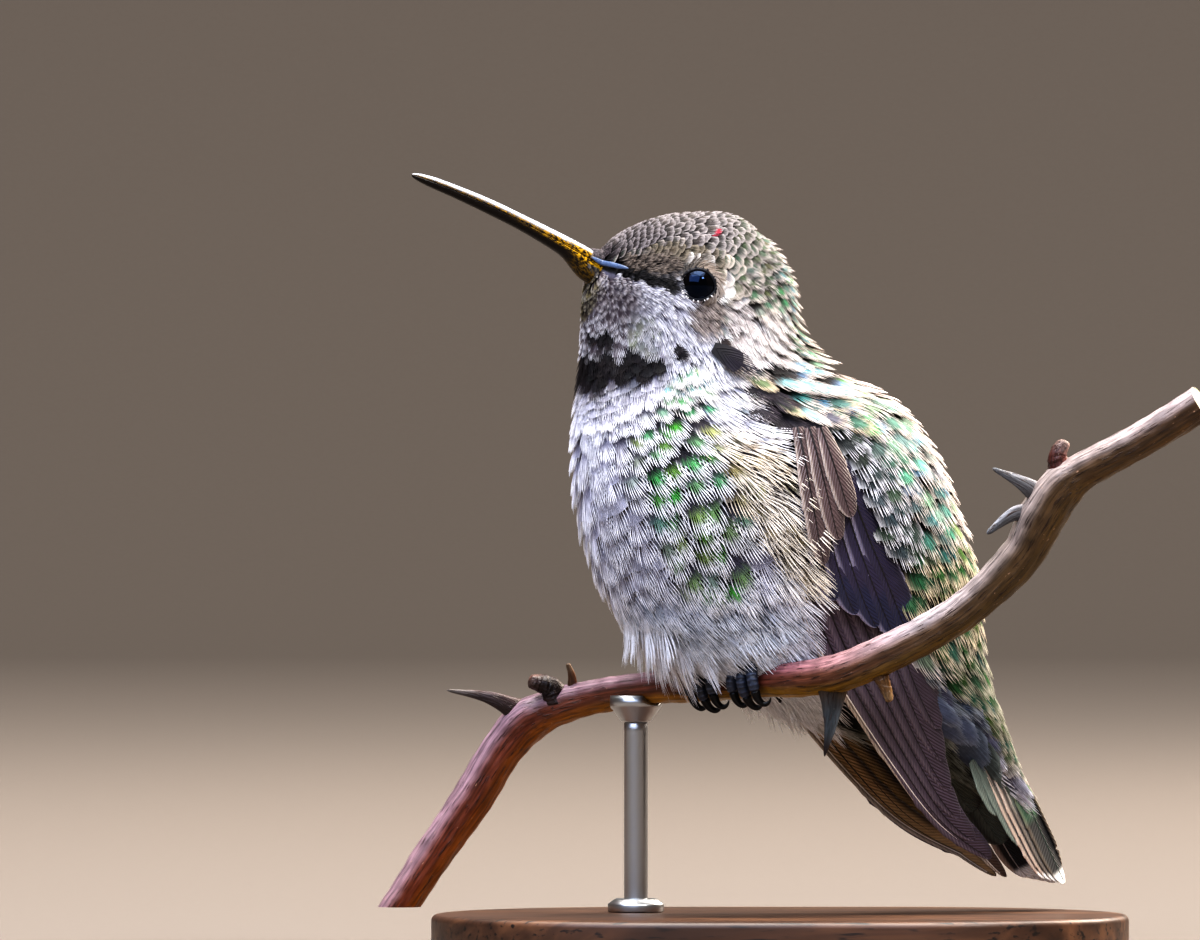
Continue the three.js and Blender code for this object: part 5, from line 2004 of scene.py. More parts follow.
@dataclass
class Blade:
    """One flight feather as a thin cambered plate with a ridge of shaft on it.

    Args:
        quill: its colours and shape.
        half: its half width.
        rows: how many rows of points it has along it.
        columns: how many points a row has on each face.
        thickness: how thick it is.
        barb_pitch: how far apart its barbs are drawn.
        barb_slant: degrees between a barb and the shaft.
        seed: where its irregularities start.
    """

    quill: Quill
    half: float
    rows: int = 56
    columns: int = 13
    thickness: float = 0.12
    barb_pitch: float = 0.27
    barb_slant: float = 28.0
    seed: int = 1

    @staticmethod
    def shape(share: Array) -> Array:
        """The share of its full width that the feather has, from root to tip."""
        return np.minimum(1, 0.5 + 1.2 * share) * rounded_end(share, 0.72, 0.0004)

    @staticmethod
    def camber(v: Array, width: Array) -> Array:
        """How high the vane stands at shares v of its half width: arched, with a slight wave."""
        return -0.11 * v ** 2 * width + 0.05 * np.sin(v * 3)

    @staticmethod
    def column(number: int) -> float:
        """Where the strip of the row's feather with this number starts on the bake map."""
        return 0.06 + 0.1 * (number % 9)

    def add(self, draft: Draft, path: Path, leading: Array, number: int) -> None:
        """Adds the feather to a piece.

        Args:
            draft: the piece.
            path: where it runs.
            leading: the way towards the wing's leading edge, in the stand's frame.
            number: the feather's place in its row.
        """
        rng = np.random.default_rng(self.seed * 100 + number)
        share = 1 - (1 - np.linspace(0, 1, self.rows)) ** 1.5
        spot, outward = path(share)
        way = unit(np.gradient(spot, axis=0))
        across = unit(np.cross(way, outward))
        across = across * np.where(np.sum(across * leading, -1, keepdims=True) > 0, -1, 1)
        outward = unit(np.cross(across, way)) * np.sign(dot(np.cross(across, way), outward))
        v = np.linspace(-1, 1, self.columns)
        notches = sum(depth * np.exp(-((share - place) / 0.006) ** 2)
                      for place, depth in zip(rng.uniform(0.35, 0.95, 5), rng.uniform(0.03, 0.16, 5)))
        width = self.half * self.shape(share)
        run = share * np.linalg.norm(spot[-1] - spot[0])
        notched = notches[:, None] * smooth(np.abs(v), 0.6, 1.0) * np.sign(v + 0.2)
        side = v * width[:, None] * (1 - notched)
        camber = self.camber(v, width[:, None])
        flat = spot[:, None] + across[:, None] * side[..., None]
        top = flat + outward[:, None] * (camber + self.thickness / 2)[..., None]
        bottom = flat + outward[:, None] * (camber - self.thickness / 2 * (1 - np.abs(v)) ** 0.5)[..., None]
        points = np.concatenate([top, bottom[:, ::-1]], 1)
        v2 = np.concatenate([v, v[::-1]])
        off = np.concatenate([side, side[:, ::-1]], 1) - self.quill.off * width[:, None]
        slant = math.radians(self.barb_slant)
        barb = (run[:, None] * math.sin(slant) - np.abs(off) * math.cos(slant)) / self.barb_pitch
        tint = np.broadcast_to(linear(self.quill.vane), (*barb.shape, 3)) * rng.uniform(0.9, 1.12)
        if self.quill.under:
            band = 0.1 + 0.9 * smooth(np.abs(v2[self.columns:] - 0.05), 0.85, 0.3)
            tint[:, self.columns:] = linear(self.quill.under) * band[:, None]
        inner = smooth(v2, 0.1, 0.7)[None, :, None]
        tint = tint * (1 - 0.22 * inner)
        ends = smooth(share[:, None], self.quill.tipped, self.quill.tipped + 0.08)
        tint = mix(tint, linear(self.quill.tip), ends[..., None])
        front, back = self.quill.edges
        edge = front * smooth(v2, -0.75, -0.9) + back * smooth(v2, 0.82, 0.97)
        edge = edge * smooth(share, 0.02, 0.2)[:, None]
        tint = mix(tint, linear(self.quill.edge), edge[..., None])
        if self.quill.spot:
            tint = mix(tint, linear(self.quill.spot), smooth(share, 0.9, 0.94)[:, None, None])
        patch = paired(self.column(number) + 0.03 * v2, 0.05 + 0.85 * share[:, None])
        draft.sheet(points, tint, patch, barb=barb, gloss=self.quill.sheen)
        self.shaft(draft, spot, across, outward, width, share, number)

    def shaft(self, draft: Draft, spot: Array, across: Array, outward: Array, width: Array, share: Array,
              number: int) -> None:
        """Adds the shaft: a tapering ridge, off the feather's middle.

        Args:
            draft: the piece.
            spot: the feather's middle line.
            across: the way towards its leading edge, at each point of the line.
            outward: its outward direction there.
            width: its half width there.
            share: the share of its length there.
            number: the feather's place in its row.
        """
        v = self.quill.off
        keep = share < 0.985
        middle = spot + across * (v * width)[:, None] + outward * self.camber(v, width)[:, None]
        girth = mix(0.13, 0.05, share)[keep]
        rings = loop_tube(middle[keep], across[keep], outward[keep], girth, girth * 0.9 + self.thickness / 2,
                          6)
        patch = paired(self.column(number) + 0.004 * np.arange(6), 0.05 + 0.85 * share[keep][:, None])
        draft.sheet(rings, linear(self.quill.shaft), patch, barb=0.0, gloss=0.6)


@dataclass
class WingRow:
    """One row of a folded wing's feathers.

    Args:
        name: the row's name.
        slot: the material slot.
        count: how many feathers it has.
        root: the share of the wing's length at which they start.
        ends: the shares at which the first and the last one end.
        across: how far from the leading edge the first and the last one lie.
        half: their half width.
        lift: how far out of the wing the first one lies.
        step: how much farther out each next one lies.
        quills: the first feathers' looks, of which the last serves all that follow.
    """

    name: str
    slot: str
    count: int
    root: float
    ends: tuple[float, float]
    across: tuple[float, float]
    half: float
    lift: float
    step: float
    quills: tuple[Quill, ...]

    def build(self, form: BirdForm, wing: WingForm, side: Side) -> None:
        """Makes the row on one side of the bird.

        Args:
            form: the bird's form.
            wing: the folded wing.
            side: the side.
        """
        mirror = np.array([1, side.value, 1])
        leading = form.turn_only((wing.lead.at(0.5) - wing.trail.at(0.5)) * mirror)
        draft = Draft()
        for i in range(self.count):
            place = i / (self.count - 1)
            end, across = mix(*self.ends, place), mix(*self.across, place)

            def path(share: Array) -> tuple[Array, Array]:
                """The feather's line and its outward direction.

                Args:
                    share: places along the feather.

                Returns:
                    Points and unit vectors in the stand's frame.
                """
                along = mix(self.root, end, share)
                level = np.full_like(along, self.lift + i * self.step)
                spot, outward = wing.spot(along, np.full_like(along, across), self.half * 0.85, level)
                return form.to_stand(spot * mirror), form.turn_only(outward * mirror)

            quill = self.quills[min(i, len(self.quills) - 1)]
            Blade(quill, self.half * quill.wide, seed=3 + side.value).add(draft, path, leading, i)
        name = f"wing_{side.word}_{self.name}"
        draft.piece(name + "_vanes", FlightFeather("flight_vane_zipped"), self.slot, [name])


@dataclass
class Wings:
    """Both folded wings.

    Args:
        form: the bird's form.
        wing: the surface that their feathers lie on.
    """

    form: BirdForm
    wing: WingForm

    def rows(self) -> tuple[WingRow, ...]:
        """Plans the rows.

        Returns:
            The rows, from the innermost out.
        """
        outer = Quill("4a3830", "d8c8b8", "3c2e2a", "e2d8ce", edges=(0.9, 0.35), off=-0.62, sheen=0.25,
                      under="b8966a", wide=0.62)
        primary = Quill("4c3f4c", "8c7e88", "3a2e38", "1d161b", edges=(0.45, 0.2), off=-0.5, sheen=0.35,
                        under="a98a5c")
        second = Quill("2f2944", "b7b0c8", "232644", "0d0a12", edges=(0.7, 0.9), tipped=0.7, off=-0.2,
                       sheen=0.5)
        covert = Quill("5b4a4a", "cbbcb2", "6a5855", "1f1718", edges=(0.8, 0.7), off=-0.15, sheen=0.3)
        return (
            WingRow("primaries", "primaries", 7, 0.15, (1, 0.66), (0, 1), 1.7, -2.3, 0.24, (outer, primary)),
            WingRow("secondaries", "secondaries", 5, 0.12, (0.36, 0.5), (0.3, 1), 1.6, -0.65, 0.2, (second,)),
            WingRow("coverts", "wing_coverts", 3, 0.06, (0.29, 0.22), (0.22, 0.72), 1.25, 0.45, 0.25,
                    (covert,)),
        )

    def build(self) -> None:
        """Makes every row on both sides."""
        for side in Side:
            for row in self.rows():
                row.build(self.form, self.wing, side)


@dataclass
class Tail:
    """The tail: feathers fanned under each other from the middle pair out to each edge.

    Args:
        form: the bird's form.
        root: x and z of the feathers' roots.
        tip: x and z of the middle pair's tips.
        slope: degrees by which each half slopes down from the middle.
        feathers: how many feathers a half has.
        coverts: how many long soft feathers lie beyond the outermost one.
        half: the feathers' half width.
        spacing: how far apart they start.
        shortening: how much shorter each next one is.
        splay: degrees by which each next one turns outwards.
        layer: how far each next one lies below the one before.
        covert_step: how much shorter each covert is.
    """

    form: BirdForm
    root: tuple[float, float] = (-25.1, 20.6)
    tip: tuple[float, float] = (-31.8, 7.2)
    slope: float = 44.0
    feathers: int = 4
    coverts: int = 2
    half: float = 1.9
    spacing: float = 1.0
    shortening: float = 0.45
    splay: float = -1.6
    layer: float = 0.16
    covert_step: float = 3.4

    @staticmethod
    def quills() -> tuple[Quill, ...]:
        """Plans the feathers' looks.

        Returns:
            A green middle feather, two outer ones that are grey, then black, then white, and a covert.
        """
        green = Quill("46684e", "b7a28c", "171412", "2b3a30", edges=(0.3, 0.7), tipped=0.5, off=0.0,
                      sheen=0.6, spot="f4f0ea", under="4a4f48")
        inner = Quill("4a5148", "b9a899", "121012", "2a2828", edges=(0.5, 0.2), tipped=0.4, off=-0.1,
                      sheen=0.4, spot="f4f0ea", under="6f6a60")
        outer = Quill("4a423c", "dcc2b0", "121013", "b8ada4", edges=(0.9, 0.1), tipped=0.45, off=-0.4,
                      spot="f4f0ea", under="6f6a60")
        covert = Quill("4f5850", "8d978c", "5c655c", "5a6058", edges=(0.4, 0.4), off=-0.2, sheen=0.15,
                       under="5c655c")
        return green, inner, outer, covert

    def build(self) -> None:
        """Makes both halves."""
        root, tip = (np.array([x, 0, z]) for x, z in (self.root, self.tip))
        length = float(np.linalg.norm(tip - root))
        ridge = (tip - root) / length
        lean = math.radians(self.slope)
        level = np.array([0.0, 1.0, 0.0])
        sideways = max((level * math.cos(a) + np.cross(ridge, level) * math.sin(a) for a in (lean, -lean)),
                       key=lambda way: way[0])
        outward = unit(np.cross(ridge, sideways))
        outward = -outward if outward[0] > 0 else outward
        quills = self.quills()
        for side in Side:
            mirror = np.array([1, side.value, 1])
            draft = Draft()
            for i in range(self.feathers + self.coverts):
                turn = math.radians(self.splay * i)
                way = ridge * math.cos(turn) + sideways * math.sin(turn)
                start = root + sideways * (self.half * 0.75 + self.spacing * i) - outward * self.layer * i
                reach = length - i * self.shortening - self.covert_step * max(0, i - self.feathers + 1)

                def path(share: Array) -> tuple[Array, Array]:
                    """The feather's line and its outward direction.

                    Args:
                        share: places along the feather.

                    Returns:
                        Points and unit vectors in the stand's frame.
                    """
                    spot = self.form.to_stand((start + way * (reach * share)[:, None]) * mirror)
                    return spot, np.broadcast_to(self.form.turn_only(outward * mirror), spot.shape)

                quill = quills[3 if i >= self.feathers else min(i, 2)]
                leading = self.form.turn_only(sideways * mirror)
                Blade(quill, self.half, seed=7 + side.value).add(draft, path, leading, i)
            name = f"tail_{side.word}"
            draft.piece(name + "_vanes", FlightFeather("flight_vane_zipped"), "tail_feathers", [name])


# ---- Perch ---------------------------------------------------------------------------------------


@dataclass
class Grip:
    """The twig's own frame where a foot holds it.

    Args:
        centre: the middle of the twig there.
        axis: the way along it.
        forward: the bird's side of it, square to the axis.
        up: its upper side, square to both.
        radius: its radius.
    """

    centre: Array
    axis: Array
    forward: Array
    up: Array
    radius: float

    def beside(self, spread: Any, angle: Any, distance: float) -> Array:
        """Points beside the twig.

        Args:
            spread: how far along it.
            angle: degrees round it from its top, forwards.
            distance: how far from its middle.

        Returns:
            One point for each angle.
        """
        turn = np.radians(np.asarray(angle, float))[..., None]
        return (self.centre + self.axis * np.asarray(spread, float)[..., None]
                + distance * (self.up * np.cos(turn) + self.forward * np.sin(turn)))


@dataclass
class Twig:
    """The cut length of thorny twig that the bird sits on.

    Args:
        route: x, y, z and radius of the points that it grows through, from its lower end.
        foot: the height at which it is sawn off, just over the base.
        rows: how many rings of points it has.
        sides: how many points a ring has.
        bands: a place along the stand and the colours of the upper edge, middle and lower edge there: the
            pale upper edge is the bark's bloom with a painted highlight, the orange-gold lower edge painted
            rim light.
    """

    route: tuple = (
        (-36.3, 12.6, 2.8, 1.7), (-34.5, 12.5, 5.5, 1.7), (-31.4, 12.2, 10.1, 1.8), (-28.2, 11.9, 14.7, 1.95),
        (-25.7, 11.6, 18.8, 1.95), (-23.2, 11.0, 21.7, 2.1), (-20.2, 9.8, 23.1, 1.75),
        (-16.5, 7.8, 24.1, 1.6), (-11.9, 4.6, 24.9, 1.55), (-7.3, 0.9, 25.2, 1.55), (-1.9, -4.4, 25.7, 1.6),
        (1.7, -7.8, 25.9, 1.65), (5.3, -10.6, 26.5, 1.8), (8.9, -12.6, 28.0, 1.8), (14.3, -14.5, 30.8, 1.75),
        (17.8, -15.7, 33.3, 1.75), (21.6, -17.0, 37.3, 1.95), (23.3, -17.9, 40.5, 2.2),
        (25.2, -18.8, 43.4, 2.1), (27.5, -19.8, 45.1, 1.7), (32.2, -21.9, 47.6, 1.6),
        (37.6, -24.0, 51.0, 1.65),
    )
    foot: float = 4.45
    rows: int = 520
    sides: int = 60
    bands: tuple = (
        (-36, "856c72", "64301a", "94541a"), (-24, "88707a", "643220", "9a5c1a"),
        (-14, "846a70", "5c3322", "8a6018"), (-2, "92585e", "66382a", "9a7722"),
        (6, "9c7c7c", "583a28", "7d6222"), (12, "a3989a", "54402e", "66501f"),
        (20, "8a7e78", "4c3a24", "5a4520"), (38, "a39595", "463221", "583f20"),
    )

    def __post_init__(self) -> None:
        """Lays the twig's middle line."""
        table = np.array(self.route)
        self.line = Line(table[:, :3], 800)
        self.radii = table[:, 3]

    def radius(self, share: Array) -> Array:
        """The twig's radius, eased from point to point.

        Args:
            share: shares counted in points of its route.

        Returns:
            One radius for each share.
        """
        place = np.clip(share, 0, 1) * (len(self.radii) - 1)
        index = np.minimum(np.floor(place).astype(int), len(self.radii) - 2)
        return mix(self.radii[index], self.radii[index + 1], smooth(place - index, 0, 1))

    def share_at(self, x: float) -> float:
        """Where the twig reaches a given x.

        Args:
            x: the place along the stand.

        Returns:
            The share, counted in points.
        """
        share = np.linspace(0, 1, 4001)
        return float(np.interp(x, self.line.by_point(share)[:, 0], share))

    def way(self, share: Array) -> Array:
        """The twig's direction at shares counted in points."""
        before, after = (self.line.by_point(np.clip(share + step, 0, 1)) for step in (-0.001, 0.001))
        return unit(after - before)

    def grip(self, x: float) -> Grip:
        """The twig's frame.

        Args:
            x: the place along the stand.

        Returns:
            The frame there.
        """
        share = np.array([self.share_at(x)])
        axis = self.way(share)[0]
        forward = unit(np.cross(axis, (0, 0, 1)))
        forward = -forward if forward[0] > 0 else forward
        up = unit(np.cross(forward, axis))
        up = -up if up[2] < 0 else up
        return Grip(self.line.by_point(share)[0], axis, forward, up, float(self.radius(share)[0]))

    def bark_tint_and_painted_light(self, x: Array, level: Array) -> Array:
        """The bark's colour, with painted light: a painted highlight on its upper edge, over the bark's pale
        bloom, and painted rim light on its lower edge.

        Args:
            x: places along the stand.
            level: heights round the stem, from 1 at its upper edge to -1 at its lower.

        Returns:
            Linear colours.
        """
        places = [band[0] for band in self.bands]
        edges = [np.array([linear(band[k]) for band in self.bands]) for k in (1, 2, 3)]
        upper, middle, lower = (np.stack([np.interp(x, places, edge[:, c]) for c in range(3)], -1)
                                for edge in edges)
        # painted highlight towards the upper edge, over the bark's pale bloom, and painted rim light towards
        # the lower edge
        tint = mix(middle, upper, smooth(level, 0.1, 0.75)[..., None])
        return mix(tint, lower, smooth(level, -0.15, -0.8)[..., None])

    def build(self) -> None:
        """Makes the stem with its ridges and both cut ends."""
        share = np.linspace(0, 1, self.rows)
        centre, way = self.line.by_point(share), self.way(share)
        across, up = carried_frames(way, np.cross(way[0], (0, 0, 1)))
        turn = round_turn(self.sides)
        run = np.concatenate([[0], np.cumsum(np.linalg.norm(np.diff(centre, axis=0), axis=1))])
        radial = across[:, None] * np.cos(turn)[:, None] + up[:, None] * np.sin(turn)[:, None]
        radius = self.radius(share)
        r, a = run[:, None], turn[None]
        swell = (0.05 * np.sin(3 * a + 0.35 * r) * np.sin(0.21 * r + 1)
                 + 0.03 * np.sin(7 * a - 0.5 * r + 2 * np.sin(0.4 * r))
                 + 0.022 * np.sin(13 * a + 1.7 * np.sin(0.9 * r)) + 0.02 * np.sin(2.9 * r + 2 * np.sin(a)))
        points = centre[:, None] + radial * (radius[:, None] + swell - 0.03)[..., None]
        low = points[..., 2] < self.foot
        slide = np.where(low, (self.foot - points[..., 2]) / np.maximum(way[:, None, 2], 0.2), 0)
        points = points + way[:, None] * slide[..., None]
        upward = np.cross(way, (0, 1, 0))
        upward = unit(upward * np.where(upward[:, 2:] < 0, -1, 1))
        level = np.sum(radial * upward[:, None], -1)
        tint = self.bark_tint_and_painted_light(points[..., 0], level)
        free = slice(self.first_free(centre, radius), None)
        marks = self.marks((radial * radius[:, None, None])[free], across[free], up[free], r[free])
        patch = paired(0.02 + 0.9 * r[free] / run[-1], 0.02 + 0.9 * a / LAP)
        draft = Draft()
        draft.sheet(points[free], tint[free], patch, **marks)
        self.cut_end(draft, points[free][0], np.zeros(3))
        self.cut_end(draft, points[-1], way[-1] * 0.25)
        draft.piece("twig_bark", Bark("bark_of_living_shoot"), "bark", ["perch_twig"])

    def first_free(self, centre: Array, radius: Array) -> int:
        """The first row of the stem that isn't wholly below the sawn foot."""
        return max(0, int(np.argmax(centre[:, 2] + radius > self.foot)) - 1)

    @staticmethod
    def marks(offset: Array, across: Array, up: Array, run: Array) -> dict[str, Array]:
        """The marks that bark and horn read.

        Args:
            offset: each point's place from the middle of its ring.
            across: each ring's sideways direction.
            up: each ring's upward direction.
            run: how far along it lies.

        Returns:
            How far along each point is, and how far each way from the middle.
        """
        return {"run": run, "east": np.sum(offset * across[:, None], -1),
                "north": np.sum(offset * up[:, None], -1)}

    def cut_end(self, draft: Draft, rim: Array, bulge: Array) -> None:
        """Closes an end with a sawn face: rings of wood inside the bark.

        Args:
            draft: the twig's piece.
            rim: the last ring of the bark.
            bulge: how far, and which way, the face stands out at its middle.
        """
        inward = (1.0, 0.97, 0.9, 0.82, 0.66, 0.45, 0.22, 0.0)
        heart = rim.mean(0)
        rings = np.stack([mix(heart, rim, s) + bulge * (1 - s ** 4) * 0.3 for s in inward])
        hexes = ("6a4534", "4a3024", "7d9a4e", "d9c9a0", "cdb98c", "d6c59b", "c3ab7c", "8a6a44")
        tint = np.stack([np.broadcast_to(linear(h), rim.shape) for h in hexes])
        flat = 0.95 + 0.02 * (rings - heart)[..., :2]
        draft.sheet(rings, tint, flat, run=3.0, east=0.0, north=0.0)


@dataclass(frozen=True)
class Spur:
    """A thorn, bud or scale on the twig.

    Args:
        name: the CAD node that it replaces.
        path: the points it grows through, from the twig outwards.
        radii: its radius at the root and at the tip.
        flat: how flat it is, sideways.
        colours: the colours of its root, middle and tip.
        scales: how many overlapping bud scales it shows.
        ridge: how sharp the keel along it is.
        taper: below 1 it narrows fast at its root, above 1 at its tip.
        rows: how many rings of points it has.
        sides: how many points a ring has.
    """

    name: str
    path: tuple
    radii: tuple[float, float]
    flat: float
    colours: tuple[str, str, str]
    scales: int = 0
    ridge: float = 0.0
    taper: float = 0.7
    rows: int = 70
    sides: int = 28

    def build(self) -> None:
        """Makes the spur, with a keel or with scales."""
        line = Line(np.array(self.path))
        share = np.linspace(0, 1, self.rows)
        share = 1 - (1 - share) ** 1.4
        centre, way = line.at(share), line.heading(share)
        start = np.cross(way[0], (1, 0, 0) if abs(way[0][2]) > 0.9 else (0, 0, 1))
        across, up = carried_frames(way, start)
        radius = mix(self.radii[0], self.radii[1], share ** self.taper) * rounded_end(share, 0.93, 0.0004)
        a, s = round_turn(self.sides)[None], share[:, None]
        form = (1 + self.ridge * np.maximum(0, np.sin(a)) ** 6
                + 0.03 * np.sin(5 * a + 9 * s) + 0.02 * np.sin(11 * a - 14 * s))
        if self.scales:
            lap = (s * self.scales + 0.5 * np.sin(a + 5 * np.floor(s * self.scales))) % 1
            form = form + 0.12 * (1 - lap) * (s < 0.9)
        wide = radius[:, None] * form
        points = (centre[:, None] + across[:, None] * (wide * np.cos(a) * self.flat)[..., None]
                  + up[:, None] * (wide * np.sin(a))[..., None])
        root, middle, tip = (linear(c) for c in self.colours)
        tint = mix(mix(root, middle, smooth(s, 0.05, 0.5)[..., None]), tip, smooth(s, 0.6, 0.95)[..., None])
        # painted light: the spur's upper side is painted lighter and its underside darker
        lit = 0.55 + 0.9 * smooth(np.sin(a), 0.3, 1.0)
        draft = Draft()
        draft.sheet(points, tint * lit[..., None], paired(0.05 + 0.9 * s, 0.05 + 0.9 * a / LAP),
                    **Twig.marks(points - centre[:, None], across, up, s * line.length))
        word = self.name.removeprefix("perch_")
        draft.piece(f"{word}_grown", Bark("bark_of_thorns", crack="3a241c", pore="d8c8bc", fibre=0.14),
                    "thorn", [self.name])


def spurs() -> tuple[Spur, ...]:
    """Plans what grows on the twig.

    Returns:
        Its thorns, buds and scales, from its lower end.
    """
    pale = ("4a3933", "6e6d70", "62656a")
    return (
        Spur("perch_thorn_left", ((-23.4, 10.6, 22.2), (-26.6, 10.0, 23.8), (-30.7, 9.6, 24.6)), (1.7, 0.1),
             0.5, ("39231e", "483938", "6f655e"), ridge=0.15, taper=0.45),
        Spur("perch_bud_left", ((-20.4, 9.4, 23.6), (-21.2, 9.0, 24.9), (-23.1, 8.4, 25.5)), (1.4, 0.6), 0.9,
             ("39211a", "211211", "543d36"), scales=6),
        Spur("perch_scale_left", ((-19.0, 8.8, 24.0), (-19.1, 8.6, 25.8), (-19.5, 8.4, 27.1)), (0.7, 0.2),
             0.6, ("4a2e1e", "603e27", "866d55")),
        Spur("perch_thorn_under", ((4.6, -10.2, 25.6), (4.5, -10.6, 22.4), (3.9, -10.9, 18.9)), (1.7, 0.1),
             0.5, ("4a3826", "4a5054", "2a1a18"), ridge=0.12, taper=0.6),
        Spur("perch_bud_under", ((8.7, -12.6, 27.0), (9.4, -13.0, 25.2), (9.8, -13.2, 23.9)), (0.9, 0.35),
             0.8, ("55351c", "7f5b34", "987b58"), scales=4),
        Spur("perch_thorn_right", ((24.0, -18.2, 42.0), (21.8, -19.2, 43.6), (18.9, -20.0, 45.1)),
             (1.8, 0.15), 0.5, pale, ridge=0.12, taper=0.5),
        Spur("perch_spur_right", ((23.0, -17.8, 40.6), (21.0, -18.8, 41.0), (18.4, -19.6, 39.2)), (1.3, 0.2),
             0.5, pale, ridge=0.1, taper=0.6),
        Spur("perch_bud_right", ((25.4, -18.9, 43.8), (24.8, -19.3, 46.2), (25.6, -19.4, 47.6)), (1.5, 0.5),
             0.9, ("42211a", "60332b", "8c756d"), scales=5),
    )


# ---- Feet ----------------------------------------------------------------------------------------


@dataclass(frozen=True)
class Toe:
    """A toe round the twig.

    Args:
        name: which toe it is.
        spread: how far along the twig it lies.
        start: the angle round the twig where it starts, in degrees.
        end: the angle where it ends.
    """

    name: str
    spread: float
    start: float
    end: float


@dataclass
class Foot:
    """One foot with its leg: four scaled toes round the twig, each with a hooked claw.

    Args:
        form: the bird's form.
        twig: what the foot holds.
        side: which foot it is.
        toes: its toes.
        toe_radius: the toes' radius.
        tarsus_radius: the leg's radius.
        gap: how far toes and leg keep off the twig.
        claw_radius: the claws' radius at their roots.
        claw_bend: the radius of their curl.
        claw_sweep: how far they curl along the twig rather than under it.
        claw_turn: degrees through which they curl.
        scute: the length of one scale.
        rows: how many rings of points a toe or the leg has.
        knee_place: where the left leg enters the coat, in the bird's frame.
    """

    form: BirdForm
    twig: Twig
    side: Side
    toes: tuple[Toe, ...] = (Toe("inner", -1.3, 8, 116), Toe("middle", 0.05, 8, 128),
                             Toe("outer", 1.4, 8, 116), Toe("hind", 0.2, -14, -104))
    toe_radius: float = 0.56
    tarsus_radius: float = 0.6
    gap: float = 0.25
    claw_radius: float = 0.5
    claw_bend: float = 1.35
    claw_sweep: float = 0.8
    claw_turn: float = 140.0
    scute: float = 0.4
    rows: int = 60
    knee_place: tuple[float, float, float] = (-1.9, 3.2, 30.0)

    def __post_init__(self) -> None:
        """Finds the foot's grip and its knee."""
        self.grip = self.twig.grip(-1.9 if self.side is Side.LEFT else -5.7)
        self.knee = self.form.to_stand(np.array(self.knee_place) * (1, self.side.value, 1))
        self.heel = self.grip.beside(0.0, -6.0, self.grip.radius + self.tarsus_radius + self.gap)

    def build(self) -> None:
        """Makes the toes, the leg and the claws."""
        word = self.side.word
        toes, leg = Draft(), Draft()
        finish = Scute("scutes_slate")
        share = np.linspace(0, 1, self.rows)
        for number, toe in enumerate(self.toes):
            line = self.path(toe)
            out = unit(line.at(share) - self.grip.centre)
            self.scaled(toes, line, out, self.toe_radius * mix(1.1, 0.85, share), 3, number)
            self.claw(toe, line)
        rise = unit(self.knee - self.heel)
        start = self.heel - rise * 0.1
        shin = Line(np.stack([start, mix(start, self.knee, 0.5), self.knee]))
        radius = self.tarsus_radius * mix(1, 1.25, share) * (1 + 0.28 * np.exp(-(share / 0.06) ** 2))
        self.scaled(leg, shin, self.grip.forward, radius, 0, 8)
        toes.piece(f"toes_{word}", finish, "scaled_skin", [f"foot_{word}"])
        leg.piece(f"tarsus_{word}", finish, "scaled_skin", [f"leg_{word}"])

    def path(self, toe: Toe) -> Line:
        """The middle line of a toe, from the top of the twig round it.

        Args:
            toe: the toe.

        Returns:
            Its line.
        """
        share = np.linspace(0, 1, 7)
        distance = self.grip.radius + self.toe_radius + self.gap
        spread = toe.spread * np.minimum(1, 0.25 + share)
        return Line(self.grip.beside(spread, mix(toe.start, toe.end, share), distance))

    def scaled(self, draft: Draft, line: Line, out: Array, radius: Array, pads: int, number: int) -> None:
        """Adds a scaled tube: plates that overlap on its outer side, and pads on its inner side.

        Args:
            draft: the piece.
            line: its middle line.
            out: the way to its outer side.
            radius: its radius at each ring.
            pads: how many pads it has.
            number: its place on the bake map.
        """
        rows, sides = len(radius), 20
        share = np.linspace(0, 1, rows)
        centre, way = line.at(share), line.heading(share)
        out = unit(out - way * dot(out, way))
        across = np.cross(way, out)
        turn = round_turn(sides)[None]
        lap = (share[:, None] * line.length / self.scute) % 1
        front = smooth(np.sin(turn), 0.0, 0.6)
        back = smooth(-np.sin(turn), 0.1, 0.8)
        form = 1 + 0.13 * lap * front + 0.04 * (lap - 0.5) * (1 - front)
        if pads:
            form = form + 0.14 * back * np.abs(np.sin(math.pi * pads * share))[:, None]
        ends = np.sqrt(np.clip(1 - np.clip((share - 0.9) / 0.1, 0, 1) ** 2 * 0.75, 0.02, 1))[:, None]
        wide = radius[:, None] * form * ends
        points = (centre[:, None] + across[:, None] * (wide * np.cos(turn))[..., None]
                  + out[:, None] * (wide * np.sin(turn))[..., None])
        joint = smooth(lap, 0.16, 0.0) * front
        tint = mix(linear("272c38"), linear("0e0f14"), joint[..., None])
        # painted highlight: a bluish lighter tint on the raised outer edge of each plate
        tint = mix(tint, linear("5c6880"), (0.5 * front * smooth(lap, 0.55, 0.95))[..., None])
        tint = mix(tint, linear("3a3838"), (0.7 * back)[..., None])
        patch = paired(0.02 + 0.1 * number + 0.07 * turn / LAP, 0.05 + 0.9 * share[:, None])
        draft.sheet(points, tint, patch)

